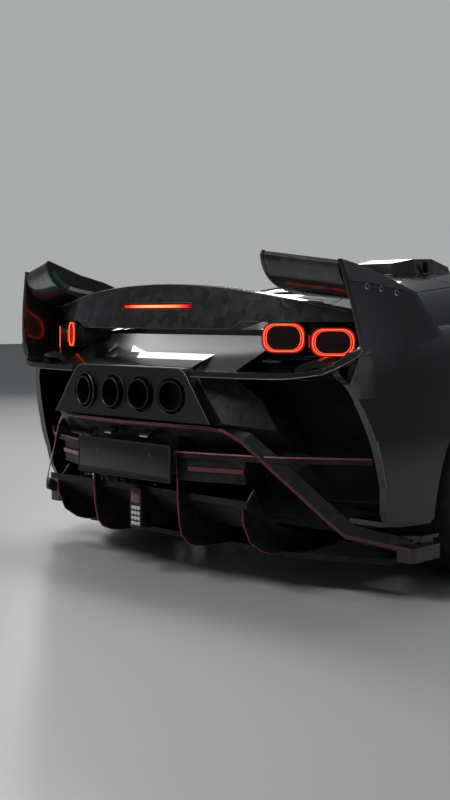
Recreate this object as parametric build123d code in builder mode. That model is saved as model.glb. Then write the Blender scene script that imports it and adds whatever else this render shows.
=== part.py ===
"""Mid-engined hypercar with a wide tail: separate panels over a hollow cabin, four exhausts in a
row, a framed diffuser, two tail fins with winglets, opening doors and lids, and wheels on knuckles.

Millimetres. +Z is up, the nose points to -Y, the driver's left is +X, and the origin is on the
ground under the middle of the car.
"""

import os
from math import cos, radians, sin, tan

from build123d import *

os.makedirs("parts", exist_ok=True)

# ---------------------------------------------------------------- driving dimensions
length = 4700.0  # nose to number plate
wheelbase = 2650.0
rear_overhang = 990.0  # rear axle to the number plate
tail_y = length / 2
nose_y = -length / 2
rear_axle_y = tail_y - rear_overhang
front_axle_y = rear_axle_y - wheelbase

wall = 42.0  # outer skin, inner skin and what lies between
door_wall = 95.0
window_wall = 30.0
glass = 10.0
seam = 0.3  # between fixed panels
door_gap = 8.0  # round everything that opens

front_tyre_r = 343.0
front_tyre_w = 255.0
rear_tyre_r = 350.0
rear_tyre_w = 315.0
tyre_x = 842.0  # middle of every tread
rim_r = 264.0  # where the beads sit
front_arch_r = 404.0
rear_arch_r = 400.0
arch_in = 530.0  # how far in a front wheel sweeps when it is steered
hub_r = 30.0  # stub axle
steer_x = 752.0  # steering axis
king_r = 8.0  # kingpins
upright_y = 55.0  # half length of a hub carrier's upright
upright_z = 130.0  # its half height
rear_upright_x = 740.0  # inner face of the rear uprights

door_front_y = -800.0
door_rear_r = 1380.0  # rear shut face, about the hinge
hinge_x = 944.0
door_bottom_z = 262.0
door_in_x = 600.0

lid_rear_y = -1015.0
lid_hinge_z = 775.0
cover_hinge_z = 1161.5
hinge_pin_r = 2.5
knuckle_r = 4.5
ear = 12.0
DOOR_HINGES = [(356, 392), (470, 506)]
cover_front_y = 862.0

# hull sections, nose to tail. Columns: y, bottom z, bottom half width, widest half width and its z,
# shoulder half width and z, crest half width and z, inner crease half width and z, middle z
HULL = [
    (nose_y, 195, 600, 655, 330, 600, 455, 520, 480, 380, 492, 500),
    (-2210, 150, 850, 885, 350, 850, 520, 740, 592, 520, 585, 590),
    (-1900, 130, 925, 960, 380, 940, 620, 840, 735, 590, 668, 672),
    (-1290, 120, 940, 990, 470, 968, 690, 850, 842, 620, 752, 738),
    (-760, 118, 895, 945, 430, 925, 680, 850, 822, 660, 798, 804),
    (0, 115, 885, 930, 400, 912, 690, 860, 808, 700, 815, 822),
    (700, 115, 925, 975, 430, 960, 730, 900, 872, 720, 880, 886),
    (rear_axle_y, 130, 955, 1014, 500, 1000, 760, 905, 925, 700, 905, 912),
    (1800, 200, 950, 1004, 470, 985, 740, 890, 880, 680, 868, 874),
    (2120, 330, 860, 905, 500, 890, 680, 850, 775, 640, 785, 790),
]

# greenhouse sections, cowl to tail. Columns: y, base half width and z, side half width and z,
# roof edge half width and z, middle z
CABIN = [
    (-960, 700, 740, 690, 775, 640, 795, 815),
    (-500, 790, 740, 745, 880, 640, 955, 1010),
    (-60, 820, 740, 745, 940, 575, 1095, 1165),
    (350, 825, 740, 745, 945, 550, 1125, 1188),
    (900, 815, 740, 740, 930, 530, 1095, 1160),
    (1400, 790, 760, 705, 915, 500, 1035, 1085),
    (1990, 700, 790, 620, 870, 440, 915, 940),
]

# the winglet's curl at its inner end. Columns: y, z, how far the outer end lies behind and below
CURL = [
    (1790, 1050, -40, -22),
    (1915, 1052, -55, -24),
    (2015, 1058, -62, -26),
    (2100, 1070, -72, -30),
    (2168, 1091, -80, -34),
    (2205, 1122, -86, -37),
    (2228, 1154, -89, -38),
    (2238, 1198, -89, -38),
]

# the bumper frame on one side, a flat bar on edge. Columns: x, y, z of its rear edge, then how far its
# front edge lies out, forward and up from there
FRAME = [
    (0, 2338, 588, 0, -40, 4),
    (400, 2296, 589, 0, -40, 4),
    (461, 2278, 580, 8, -38, 10),
    (520, 2250, 546, 20, -30, 24),
    (640, 2185, 428, 24, -24, 31),
    (804, 2100, 272, 24, -24, 31),
    (842, 2074, 236, 20, -32, 29),
    (942, 1950, 198, 10, -44, 24),
    (1000, 1922, 190, 2, -50, 4),
]
bar_depth = 14.0


# ---------------------------------------------------------------- shapes that are used again
def hull_section(row, t=0.0, drop=0.0):
    """Closed section of the hull, t inside its skin and reaching drop below it."""
    y, z0, wb, wm, zm, ws, zs, wf, zf, wi, zi, zc = row
    low = (wb - t, z0 - drop)
    shoulder = (ws - t, zs - 0.5 * t)
    crease = (wi, zi - t)
    with BuildSketch(Plane.XZ.offset(-y)) as section:
        with BuildLine():
            Line((-low[0], low[1]), low)
            for s in (1, -1):
                ThreePointArc((s * low[0], low[1]), (s * (wm - t), zm), (s * shoulder[0], shoulder[1]))
                ThreePointArc(
                    (s * shoulder[0], shoulder[1]),
                    (s * (wf - 0.5 * t), zf - t),
                    (s * crease[0], crease[1]),
                )
            ThreePointArc((-crease[0], crease[1]), (0, zc - t), crease)
        make_face()
    return section.sketch


def cabin_section(row, t=0.0, drop=0.0):
    """Closed section of the greenhouse, t inside its skin and reaching drop below it."""
    y, w0, z0, w1, z1, w2, z2, zc = row
    edge = (w2 - 0.6 * t, z2 - 0.8 * t)
    with BuildSketch(Plane.XZ.offset(-y)) as section:
        with BuildLine():
            Line((-(w0 - t), z0 - drop), (w0 - t, z0 - drop))
            for s in (1, -1):
                ThreePointArc((s * (w0 - t), z0 - drop), (s * (w1 - t), z1), (s * edge[0], edge[1]))
            ThreePointArc((-edge[0], edge[1]), (0, zc - t), edge)
        make_face()
    return section.sketch


def through(sections):
    """One smooth solid through closed sections."""
    with BuildPart() as body:
        loft(sections)
    return body.part


def prism(points, low, high, plane=Plane.XY):
    """Prism over an outline on a plane, between two heights above it."""
    with BuildPart() as body:
        with BuildSketch(plane.offset(low)):
            with BuildLine():
                Polyline(*points, close=True)
            make_face()
        extrude(amount=high - low)
    return body.part


def side_prism(points, x0, x1):
    """Prism across the car over a side outline of (y, z)."""
    return prism(points, x0, x1, Plane.YZ)


def front_prism(points, y0, y1):
    """Prism along the car over a front outline of (x, z)."""
    return prism(points, -y1, -y0, Plane.XZ)


def box(x0, x1, y0, y1, z0, z1):
    """Box between two corners."""
    with BuildPart(Plane.XY.offset(z0)) as body:
        with Locations(((x0 + x1) / 2, (y0 + y1) / 2)):
            Box(x1 - x0, y1 - y0, z1 - z0, align=(Align.CENTER, Align.CENTER, Align.MIN))
    return body.part


def rod_x(y, z, r, x0, x1):
    """Round bar across the car."""
    with BuildPart() as body:
        with BuildSketch(Plane.YZ.offset(x0)):
            with Locations((y, z)):
                Circle(r)
        extrude(amount=x1 - x0)
    return body.part


def rod_z(x, y, r, z0, z1):
    """Upright round bar."""
    with BuildPart() as body:
        with BuildSketch(Plane.XY.offset(z0)):
            with Locations((x, y)):
                Circle(r)
        extrude(amount=z1 - z0)
    return body.part


def tube_between(a, b, r):
    """Round bar from one point to another."""
    with BuildPart() as body:
        with BuildSketch(Plane(origin=a, z_dir=Vector(*b) - Vector(*a))):
            Circle(r)
        extrude(amount=(Vector(*b) - Vector(*a)).length)
    return body.part


def cut(base, keep=None, away=()):
    """What of a solid lies inside one region and outside others."""
    with BuildPart() as body:
        add(base)
        if keep is not None:
            add(keep, mode=Mode.INTERSECT)
        for region in away:
            add(region, mode=Mode.SUBTRACT)
    return body.part


def joined(*pieces):
    """Pieces fused into one."""
    with BuildPart() as body:
        for piece in pieces:
            add(piece)
    return body.part


def both_sides(piece):
    """A left-hand piece and its mirror image."""
    with BuildPart() as body:
        add(piece)
        mirror(about=Plane.YZ)
    return body.part


def other_side(piece):
    """The mirror image of a left-hand piece."""
    with BuildPart() as body:
        add(mirror(piece, about=Plane.YZ, mode=Mode.PRIVATE))
    return body.part


def save(piece, name):
    """Label a finished piece and write its file."""
    piece.label = name
    export_step(piece, f"parts/{name}.step")


# ---------------------------------------------------------------- outer skin and what is cut from it
hull = through([hull_section(row) for row in HULL])
hollow_rows = [(HULL[0][0] + wall,) + HULL[0][1:]] + HULL[1:-1] + [(HULL[-1][0] + 60,) + HULL[-1][1:]]
hull_hollow = through([hull_section(row, wall, 60) for row in hollow_rows])
cabin = through([cabin_section(row) for row in CABIN])
cabin_rows = CABIN[:-1] + [(CABIN[-1][0] + 40,) + CABIN[-1][1:]]
cabin_hollow = through([cabin_section(row, window_wall, 60) for row in cabin_rows])
cabin_under_glass = through([cabin_section(row, glass, 60) for row in cabin_rows])

hollow = joined(hull_hollow, cabin_hollow)
shell = cut(joined(hull, cabin), away=[hollow])

front_arches = joined(
    rod_x(front_axle_y, front_tyre_r, front_arch_r, arch_in, 1100),
    rod_x(front_axle_y, front_tyre_r, front_arch_r, -1100, -arch_in),
)
rear_arches = joined(
    rod_x(rear_axle_y, rear_tyre_r, rear_arch_r, 630, 1100),
    rod_x(rear_axle_y, rear_tyre_r, rear_arch_r, -1100, -630),
)

# the lid between the front crests, widest at its rear edge
LID = [(360, -2180), (560, -1900), (600, -1500), (610, lid_rear_y)]
lid_outline = [(x, y) for x, y in LID] + [(-x, y) for x, y in reversed(LID)]
lid_region = prism(lid_outline, 430, 900)
with BuildPart() as lid_gap_part:
    with BuildSketch(Plane.XY.offset(430)):
        with BuildLine():
            Polyline(*lid_outline, close=True)
        make_face()
        offset(amount=door_gap, kind=Kind.INTERSECTION)
    extrude(amount=470)
lid_gap = lid_gap_part.part

# the engine cover, from behind the roof scoop to the tail
cover_region = prism([(-490, cover_front_y), (490, cover_front_y), (455, 1960), (-455, 1960)], 800, 1300)
cover_gap = prism(
    [(-498, cover_front_y - door_gap), (498, cover_front_y - door_gap), (463, 2080), (-463, 2080)], 800, 1300
)

# a door and the gap round it: level at the bottom, upright in front, round about the hinge behind
def door_region(g):
    """Space of the left door, grown by g."""
    with BuildPart() as body:
        with BuildSketch(Plane.XY.offset(door_bottom_z - g)):
            with Locations((hinge_x, door_front_y)):
                Circle(door_rear_r + g)
            with Locations((hinge_x, door_front_y - g - 1000)):
                Rectangle(4000, 2000, mode=Mode.SUBTRACT)
            with Locations((door_in_x - g - 1000, 0)):
                Rectangle(2000, 4000, mode=Mode.SUBTRACT)
        extrude(amount=1000)
        with BuildSketch(Plane.YZ):
            with BuildLine():
                Polyline(
                    (door_front_y - 50, 812 + g),
                    (door_front_y, 812 + g),
                    (door_front_y + 90, 856 + g),
                    (-150, 1120 + g),
                    (2000, 1120 + g),
                    (2000, 2000),
                    (door_front_y - 50, 2000),
                    close=True,
                )
            make_face()
        extrude(amount=1200, mode=Mode.SUBTRACT)
    return body.part


door_space = door_region(0)
door_hole = door_region(door_gap)
door_holes = joined(door_hole, other_side(door_hole))

SIDE_WINDOW = [(-560, 880), (-130, 1062), (180, 1085), (420, 1060), (475, 885), (-200, 862)]
side_window = side_prism(SIDE_WINDOW, 500, 1000)

WINDSCREEN = [(575, -905), (575, -500), (520, -235)]
screen_region = prism(WINDSCREEN + [(-x, y) for x, y in reversed(WINDSCREEN)], 760, 1300)

# ---------------------------------------------------------------- front
nose_cut_y = front_axle_y - front_arch_r - 12
front_body = cut(shell, box(-1100, 1100, nose_y - 10, door_front_y + 60, 0, 900), [lid_gap, front_arches, door_holes])
front_bumper = cut(
    front_body,
    box(-1100, 1100, nose_y - 10, nose_cut_y, 158, 900),
    [
        front_prism([(-300, 215), (300, 215), (255, 330), (-255, 330)], nose_y - 10, -2240),
        front_prism([(430, 225), (690, 245), (720, 400), (520, 345)], nose_y - 10, -2180),
        front_prism([(-430, 225), (-690, 245), (-720, 400), (-520, 345)], nose_y - 10, -2180),
        side_prism([(-2330, 505), (-2330, 430), (-2090, 560), (-2090, 700), (-2150, 700)], 585, 800),
        side_prism([(-2330, 505), (-2330, 430), (-2090, 560), (-2090, 700), (-2150, 700)], -800, -585),
    ],
)
save(front_bumper, "front_bumper")

front_fender = cut(
    front_body,
    box(500, 1100, nose_cut_y + seam, door_front_y - door_gap, 158, 900),
    [cabin, box(400, 639, lid_rear_y + door_gap - seam, -700, 600, 900)],
)
front_cowl = cut(front_body, box(-638.7, 638.7, lid_rear_y + door_gap, -820, 600, 900), [cabin])
save(both_sides(front_fender), "front_fenders")



def knuckle(axis_rod, low, high, body):
    """Hinge knuckle on a moving panel: axis_rod(r, a, b) is a bar about the hinge from a to b."""
    with BuildPart() as made:
        add(body)
        add(axis_rod(knuckle_r + 0.5, low - ear - 0.6, low), mode=Mode.SUBTRACT)
        add(axis_rod(knuckle_r + 0.5, high, high + ear + 0.6), mode=Mode.SUBTRACT)
        add(axis_rod(knuckle_r, low, high))
        add(axis_rod(hinge_pin_r + 0.06, low - 1, high + 1), mode=Mode.SUBTRACT)
    return made.part


def hinge_pin(axis_rod, low, high, arm):
    """Fixed half of that hinge: two ears with a pin through them, on an arm cut to the ears."""
    with BuildPart() as made:
        add(axis_rod(knuckle_r, low - ear, low - 0.3))
        add(axis_rod(knuckle_r, high + 0.3, high + ear))
        add(arm)
        add(axis_rod(knuckle_r + 0.5, low - 0.3, high + 0.3), mode=Mode.SUBTRACT)
        add(axis_rod(hinge_pin_r, low - ear, high + ear))
    return made.part


def across(y, z):
    """Bars about a hinge line across the car."""
    return lambda r, a, b: rod_x(y, z, r, a, b)


lid_axis = across(lid_rear_y, lid_hinge_z)
front_lid = cut(shell, lid_region)
for x in (-500, 460):
    front_lid = knuckle(lid_axis, x, x + 40, front_lid)
save(front_lid, "front_lid")
lid_pins = both_sides(
    hinge_pin(
        lid_axis,
        460,
        500,
        joined(
            box(460 - ear, 459.7, lid_rear_y, lid_rear_y + door_gap, lid_hinge_z - 12, lid_hinge_z),
            box(500.3, 500 + ear, lid_rear_y, lid_rear_y + door_gap, lid_hinge_z - 12, lid_hinge_z),
        ),
    )
)

# ---------------------------------------------------------------- greenhouse
roof_shell = cut(shell, box(-900, 900, -1100, 1000, 760, 1300), [door_holes, cover_gap, lid_gap])
roof = cut(
    joined(cut(roof_shell, cabin), front_cowl),
    box(-638.7, 638.7, lid_rear_y + door_gap, cover_front_y - door_gap, 600, 1300),
    [screen_region],
)
save(roof, "roof")
windscreen = cut(cabin, screen_region, [cabin_under_glass])
save(windscreen, "windscreen")

# ---------------------------------------------------------------- doors
door_hollow = joined(through([hull_section(row, door_wall, 60) for row in hollow_rows]), cabin_hollow)
door = cut(joined(hull, cabin), door_space, [door_hollow, side_window])


def door_axis(r, a, b):
    """Bar about the left door's hinge line."""
    return rod_z(hinge_x, door_front_y, r, a, b)


door_pins = []
for low, high in DOOR_HINGES:
    door = knuckle(door_axis, low, high, door)
    door_pins.append(
        hinge_pin(
            door_axis,
            low,
            high,
            joined(
                box(hinge_x - 4.5, hinge_x, door_front_y - door_gap, door_front_y, low - ear, low - 0.3),
                box(hinge_x - 4.5, hinge_x, door_front_y - door_gap, door_front_y, high + 0.3, high + ear),
            ),
        )
    )
save(door, "door_left")
save(other_side(door), "door_right")
with BuildPart() as door_glass:
    add(cabin)
    add(side_window, mode=Mode.INTERSECT)
    add(door_space, mode=Mode.INTERSECT)
    add(cabin_under_glass, mode=Mode.SUBTRACT)
save(door_glass.part, "door_glass_left")
save(other_side(door_glass.part), "door_glass_right")

# a mirror on an arm from the door's front corner
with BuildPart() as mirror_left:
    with BuildSketch(Plane.YZ.offset(905)):
        with Locations((-560, 930)):
            Ellipse(34, 42)
    with BuildSketch(Plane.YZ.offset(1000)):
        with Locations((-575, 935)):
            Ellipse(46, 58)
    with BuildSketch(Plane.YZ.offset(1075)):
        with Locations((-560, 935)):
            Ellipse(30, 40)
    loft()
    add(tube_between((800, -560, 795), (960, -570, 925), 13))
    split(bisect_by=Plane.XZ.offset(520), keep=Keep.TOP)
save(cut(mirror_left.part, None, [hull, cabin]), "mirror_left")
save(other_side(mirror_left.part - hull - cabin), "mirror_right")

# ---------------------------------------------------------------- sides and tail panels
skirt_front_y = door_front_y - door_gap + seam
with BuildPart() as skirt:
    add(cut(shell, box(700, 1100, skirt_front_y, 958, 112, door_bottom_z - door_gap)))
    add(prism([(860, -790), (940, -760), (966, -300), (968, 300), (992, 900), (870, 950)], 100, 121))
save(both_sides(skirt.part), "side_skirts")

# tail lamps, two rounded rings a side. Columns: x, y, z, turn outward, width, height
RINGS = [(600, 2119, 902, 29, 150, 103), (768, 2051, 888, 37, 150, 96)]


def ring_plane(row, out=0.0):
    """Plane of a lamp's face on the left side, out in front of it."""
    x, y, z, turn, _, _ = row
    normal = (sin(radians(turn)), cos(radians(turn)), 0)
    spot = (x + normal[0] * out, y + normal[1] * out, z)
    return Plane(origin=spot, x_dir=(-cos(radians(turn)), sin(radians(turn)), 0), z_dir=normal)


with BuildPart() as lamp_pocket:
    for row in RINGS:
        with BuildSketch(ring_plane(row, -22)):
            RectangleRounded(row[4] + 4, row[5] + 4, 38)
        extrude(amount=80)

# rear edge of the fenders, and the flange that turns in under them
TAIL_CUT = [(2109, 762), (2100, 748), (2035, 547), (1993, 392), (1980, 310), (1960, 267), (1700, 267), (1700, 50), (2500, 50), (2500, 762)]
flange = prism([(765, 1960), (905, 1957), (948, 1900), (968, 1800), (968, 1756), (900, 1756), (860, 1840), (760, 1880)], 255, 272)
quarter = cut(
    shell,
    box(639, 1100, 300, 2111, door_bottom_z - door_gap + seam, 1300),
    [door_hole, rear_arches, side_prism(TAIL_CUT, 0, 1200)],
)
sail = cut(shell, box(462, 639.5, cover_front_y - door_gap + seam, 1974, 600, 1300), [cover_gap])
quarter = cut(
    joined(quarter, sail, flange),
    None,
    [side_prism([(1010, 560), (1010, 700), (760, 715), (700, 640)], 700, 1200), lamp_pocket.part],
)
save(both_sides(quarter), "rear_quarters")

with BuildPart() as engine_cover:
    add(cut(cabin, cover_region, [cabin_hollow]))
    for y in range(1090, 1900, 115):
        add(side_prism([(y, 800), (y + 48, 800), (y + 8, 1300), (y - 40, 1300)], -290, 290), mode=Mode.SUBTRACT)
cover_axis = across(cover_front_y, cover_hinge_z)
cover_body = engine_cover.part
for x in (-120, 80):
    cover_body = knuckle(cover_axis, x, x + 40, cover_body)
save(cover_body, "engine_cover")
cover_pins = both_sides(
    hinge_pin(
        cover_axis,
        80,
        120,
        joined(
            box(80 - ear, 79.7, cover_front_y - door_gap, cover_front_y, cover_hinge_z - 12, cover_hinge_z),
            box(120.3, 120 + ear, cover_front_y - door_gap, cover_front_y, cover_hinge_z - 12, cover_hinge_z),
        ),
    )
)
save(joined(both_sides(joined(*door_pins)), lid_pins, cover_pins), "panel_hinges")


def ruled(stations):
    """Straight-sided solid through outlines given corner by corner."""
    with BuildPart() as body:
        loft([Face(Wire.make_polygon(points, close=True)) for points in stations], ruled=True)
    return body.part


# the shelf over the exhausts, with a lip that climbs to each fin
SHELF = [(0, 2277), (336, 2277), (337, 2322), (560, 2292), (660, 2268)]
HUMP = [(2130, 300, 842), (2210, 310, 818), (2277, 318, 794)]  # y, half width, top
shelf_outline = SHELF + [(660, 2112), (-660, 2112)] + [(-x, y) for x, y in reversed(SHELF[1:])]
with BuildPart() as shelf:
    add(prism(shelf_outline, 762, 784))
    add(cut(shell, box(-638, 638, 1994, 2121, 700, 900)))
    add(side_prism([(1994, 880), (1994, 905), (2262, 785), (2262, 766), (2230, 766)], -499.7, 499.7))
    add(ruled([[(-w, y, 770), (w, y, 770), (0.94 * w, y, z), (-0.94 * w, y, z)] for y, w, z in HUMP]))
    lip = ruled(
        [
            [(x, yr, z), (x, yr, z - t), (x, yf, z - t), (x, yf, z)]
            for x, yr, yf, z, t in [
                (655, 2269, 2122, 784, 22),
                (715, 2253, 2122, 786, 22),
                (775, 2229, 2122, 791, 21),
                (830, 2185, 2105, 801, 20),
                (868, 2142, 2080, 817, 18),
                (890, 2114, 2056, 836, 16),
                (902, 2098, 2040, 855, 14),
            ]
        ]
    )
    lip = cut(lip, None, [hull])
    add(lip)
    add(other_side(lip))
save(shelf.part, "tail_shelf")

# fins, leaning inward as they rise
fin_plane = Plane(origin=(888, 0, 1170), x_dir=(0, 1, 0), z_dir=(cos(radians(4.5)), 0, sin(radians(4.5))))
FIN = [(2156, 0), (1987, -34), (1746, -106), (1600, -255), (1600, -330), (2040, -360), (2096, -318)]
with BuildPart() as fin:
    with BuildSketch(fin_plane):
        with BuildLine():
            Polyline(*FIN, close=True)
        make_face()
        fillet(vertices().sort_by(Axis.Y)[-2], 60)
    extrude(amount=-14)
    add(hull, mode=Mode.SUBTRACT)
    add(lip, mode=Mode.SUBTRACT)
fin_body = fin.part.solids().sort_by(SortBy.VOLUME)[-1]
save(both_sides(fin_body), "tail_fins")


# winglets: a thin sheet that curls up, from an end plate to the fin
def curl_section(x, k):
    """Section of the winglet at x, k of the way out."""
    top = [(x, y + k * dy, z + k * dz + 6) for y, z, dy, dz in CURL]
    low = [(x, y + k * dy + (8 if z > 1100 else 0), z + k * dz - 6) for y, z, dy, dz in CURL]
    with BuildSketch(Plane.YZ.offset(x)) as section:
        with BuildLine():
            Spline(*[(p[1], p[2]) for p in top])
            Spline(*[(p[1], p[2]) for p in low])
            Line((top[0][1], top[0][2]), (low[0][1], low[0][2]))
            Line((top[-1][1], top[-1][2]), (low[-1][1], low[-1][2]))
        make_face()
    return section.sketch


fin_inner = 888 - 16
winglet_sheet = through([curl_section(618, 0.04), curl_section(fin_inner + 40, 1.15)])
fin_side = prism([(1500, -700), (2400, -700), (2400, 300), (1500, 300)], -14, 300, fin_plane)
winglet_sheet = cut(winglet_sheet, None, [fin_side])
with BuildPart() as end_plate:
    with BuildSketch(Plane.YZ.offset(606)):
        with BuildLine():
            low = [(y + (8 if z > 1100 else 0), z - 6) for y, z, _, _ in CURL]
            Spline(*low)
            Polyline(low[-1], (2238, 1206), (2074, 1150), (1943, 1120), (1790, 1068), low[0])
        make_face()
    extrude(amount=12)
winglet = joined(winglet_sheet, end_plate.part)
save(both_sides(winglet), "winglets")

# the band between the fins: deepest in the middle, arched on top, leaning forward as it rises
BAND = [(0, 2203), (535, 2158), (700, 2092), (828, 2008), (884, 1960)]


def band_section(z, back, front):
    """Plan of the band at a height, its rear and front edges this far forward of its lowest edge."""
    rear = [(-x, y - back) for x, y in reversed(BAND[1:])] + [(x, y - back) for x, y in BAND]
    fore = [(x, y + back - front) for x, y in rear]
    with BuildSketch(Plane.XY.offset(z)) as section:
        with BuildLine():
            Spline(*rear)
            Spline(*fore)
            Line(rear[0], fore[0])
            Line(rear[-1], fore[-1])
        make_face()
    return section.sketch


with BuildPart() as band_front:
    with BuildSketch(Plane.XZ.offset(-2400)):
        with BuildLine():
            ThreePointArc((-890, 972), (0, 1101), (890, 972))
            Polyline((890, 972), (890, 958), (525, 958), (445, 930), (-445, 930), (-525, 958), (-890, 958), (-890, 972))
        make_face()
    extrude(amount=900)
fin_side = prism([(1500, -700), (2400, -700), (2400, 300), (1500, 300)], -14.5, 300, fin_plane)
with BuildPart() as band:
    add(through([band_section(905, 0, 115), band_section(1105, 40, 75)]))
    add(band_front.part, mode=Mode.INTERSECT)
    add(fin_side, mode=Mode.SUBTRACT)
    add(other_side(fin_side), mode=Mode.SUBTRACT)
    add(front_prism([(-196, 1004), (196, 1004), (188, 1027), (-188, 1027)], 2160, 2300), mode=Mode.SUBTRACT)
save(band.part, "spoiler_band")

# two light rings a side and a bar in the band
with BuildPart() as rings:
    for row in RINGS:
        with BuildSketch(ring_plane(row, -21.7)):
            RectangleRounded(row[4], row[5], 36)
            RectangleRounded(row[4] - 18, row[5] - 18, 28, mode=Mode.SUBTRACT)
        extrude(amount=25)
with BuildPart() as housing:
    with BuildSketch(Plane.XY.offset(832)):
        with BuildLine():
            Polyline((500, 2168), (672, 2084), (706, 2090), (848, 1986), (850, 1880), (500, 2060), close=True)
        make_face()
    extrude(amount=126)
    add(band.part, mode=Mode.SUBTRACT)
    add(lamp_pocket.part, mode=Mode.SUBTRACT)
    add(hull, mode=Mode.SUBTRACT)
    add(cabin, mode=Mode.SUBTRACT)
    add(lip, mode=Mode.SUBTRACT)
    add(fin_body, mode=Mode.SUBTRACT)
housing_body = housing.part.solids().sort_by(SortBy.VOLUME)[-1]
save(both_sides(housing_body), "lamp_housings")
bar = front_prism([(-183, 1009), (183, 1009), (183, 1021), (-183, 1021)], 2160, 2184)
with BuildPart() as lamps:
    add(both_sides(rings.part))
    add(bar)
save(lamps.part, "tail_lamps")

# ---------------------------------------------------------------- exhausts and the lower tail
TIPS = [(78, 4.0, 64), (244, 10.0, 53)]  # x, turn outward, length
EXHAUST_Z = 691.0
tip_r = 55.0
tip_bore_r = 48.0


def tip_plane(x, turn, y):
    """Plane across an exhaust on the left side, at a place along it."""
    t = radians(turn)
    x += (y - 2312) * tan(t)
    return Plane(origin=(x, y, EXHAUST_Z), x_dir=(-cos(t), sin(t), 0), z_dir=(sin(t), cos(t), 0))


with BuildPart() as tips:
    for x, turn, out in TIPS:
        with BuildSketch(tip_plane(x, turn, 2278 + 51 * sin(radians(turn)))):
            Circle(tip_r)
            Circle(tip_bore_r, mode=Mode.SUBTRACT)
        extrude(amount=out)
        with BuildSketch(tip_plane(x, turn, 2312.3)):
            Circle(tip_r + 11)
            Circle(tip_bore_r, mode=Mode.SUBTRACT)
        extrude(amount=6)
with BuildPart() as tip_holes:
    for x, turn, out in TIPS:
        with BuildSketch(tip_plane(x, turn, 2240)):
            Circle(tip_r + 3)
        extrude(amount=160)
        with BuildSketch(tip_plane(x, turn, 2312)):
            Circle(tip_r + 13)
        extrude(amount=60)
with BuildPart() as exhaust_panel:
    with BuildSketch(Plane.XZ.offset(-2326)):
        with BuildLine():
            Polyline((-298, 792), (298, 792), (440, 600), (-440, 600), close=True)
        make_face()
        fillet(vertices().group_by(Axis.Y)[-1], 34)
    extrude(amount=49)
    add(both_sides(tip_holes.part), mode=Mode.SUBTRACT)
save(exhaust_panel.part, "exhaust_panel")
save(both_sides(tips.part), "exhaust_tips")

core = ruled(
    [
        [(-830, 2060, 738), (830, 2060, 738), (800, 2060, 560), (480, 2060, 340), (-480, 2060, 340), (-800, 2060, 560)],
        [(-320, 2277, 761.7), (320, 2277, 761.7), (455, 2277, 600), (290, 2277, 546), (-290, 2277, 546), (-455, 2277, 600)],
    ]
)
core = joined(core, box(-230, 230, 2180, 2277, 400, 600))
RECESS = [(440, 770), (560, 684), (665, 505), (700, 480), (900, 480), (900, 770)]
recess = front_prism(RECESS, 2000, 2400)
core = cut(core, None, [shell, shelf.part, recess, other_side(recess)])
save(core, "tail_core")

frame_half = ruled(
    [
        [(x, y, z), (x + a, y + b, z + c), (x + a, y + b, z + c - bar_depth), (x, y, z - bar_depth)]
        for x, y, z, a, b, c in FRAME
    ]
)
foot = joined(
    prism([(945, 1762), (1008, 1762), (1012, 1900), (1003, 1926), (945, 1926)], 139, 190),
    prism([(800, 2010), (880, 1960), (1000, 1850), (1004, 1762), (945, 1762), (880, 1860)], 212, 224),
    box(950, 985, 1770, 1840, 185, 214),
)
frame_half = joined(frame_half, foot)
save(cut(both_sides(frame_half), None, [core]), "bumper_frame")

FIN_IN = [(1800, 130), (2150, 130), (2206, 139), (2245, 155), (2271, 184), (2284, 240), (2290, 313), (2292, 400), (2300, 486), (2270, 486), (2262, 330)]
FIN_OUT = [(1800, 130), (2100, 134), (2151, 149), (2212, 189), (2247, 260), (2248, 305), (2192, 368), (2120, 240)]
with BuildPart() as diffuser:
    add(side_prism([(1765, 118), (1765, 142), (2090, 232), (2261, 338), (2261, 315), (2095, 208)], -560, 560))
    add(prism([(-940, 1765), (940, 1765), (900, 1900), (560, 2050), (-560, 2050), (-900, 1900)], 116, 136))
    fins = side_prism(FIN_IN, 234, 246)
    fins_out = side_prism(FIN_OUT, 520, 532)
    add(both_sides(fins))
    add(both_sides(fins_out))
    add(box(-20, 20, 2060, 2262, 180, 330))

blade = prism(
    [(247, 2312), (300, 2300), (620, 2196), (900, 1998), (896, 1950), (600, 2130), (300, 2250), (247, 2262)], 470, 490
)
skin = prism([(247, 2298), (300, 2290), (512, 2222), (512, 2206), (300, 2268), (247, 2278)], 388, 470)
save(cut(both_sides(joined(blade, skin)), None, [shell, frame_half, other_side(frame_half), core]), "diffuser_blades")
save(cut(diffuser.part, None, [frame_half, other_side(frame_half), both_sides(joined(blade, skin))]), "diffuser")
reflector = cut(
    prism([(300, 2298), (512, 2231), (512, 2214), (300, 2290)], 425, 440),
    None,
    [skin],
)
save(both_sides(reflector), "reflectors")

plate_pitch = 304.0
plate_hole_r = 3.0
with BuildPart() as plate_holder:
    with BuildSketch(Plane.XZ.offset(-2350)):
        with Locations((0, 448)):
            RectangleRounded(530, 136, 10)
    extrude(amount=12)
    add(box(-120, 120, 2277, 2340, 420, 500))
    with BuildSketch(Plane.XZ.offset(-2350)):
        with Locations((0, 470)):
            with GridLocations(plate_pitch, 1, 2, 1):
                Circle(plate_hole_r)
    extrude(amount=12, mode=Mode.SUBTRACT)
save(plate_holder.part, "plate_holder")
with BuildPart() as rain_lamp:
    with BuildSketch(Plane.XZ.offset(-2286)):
        with Locations((0, 256)):
            RectangleRounded(65, 157, 18)
    extrude(amount=24)
save(rain_lamp.part, "rain_lamp")

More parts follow.
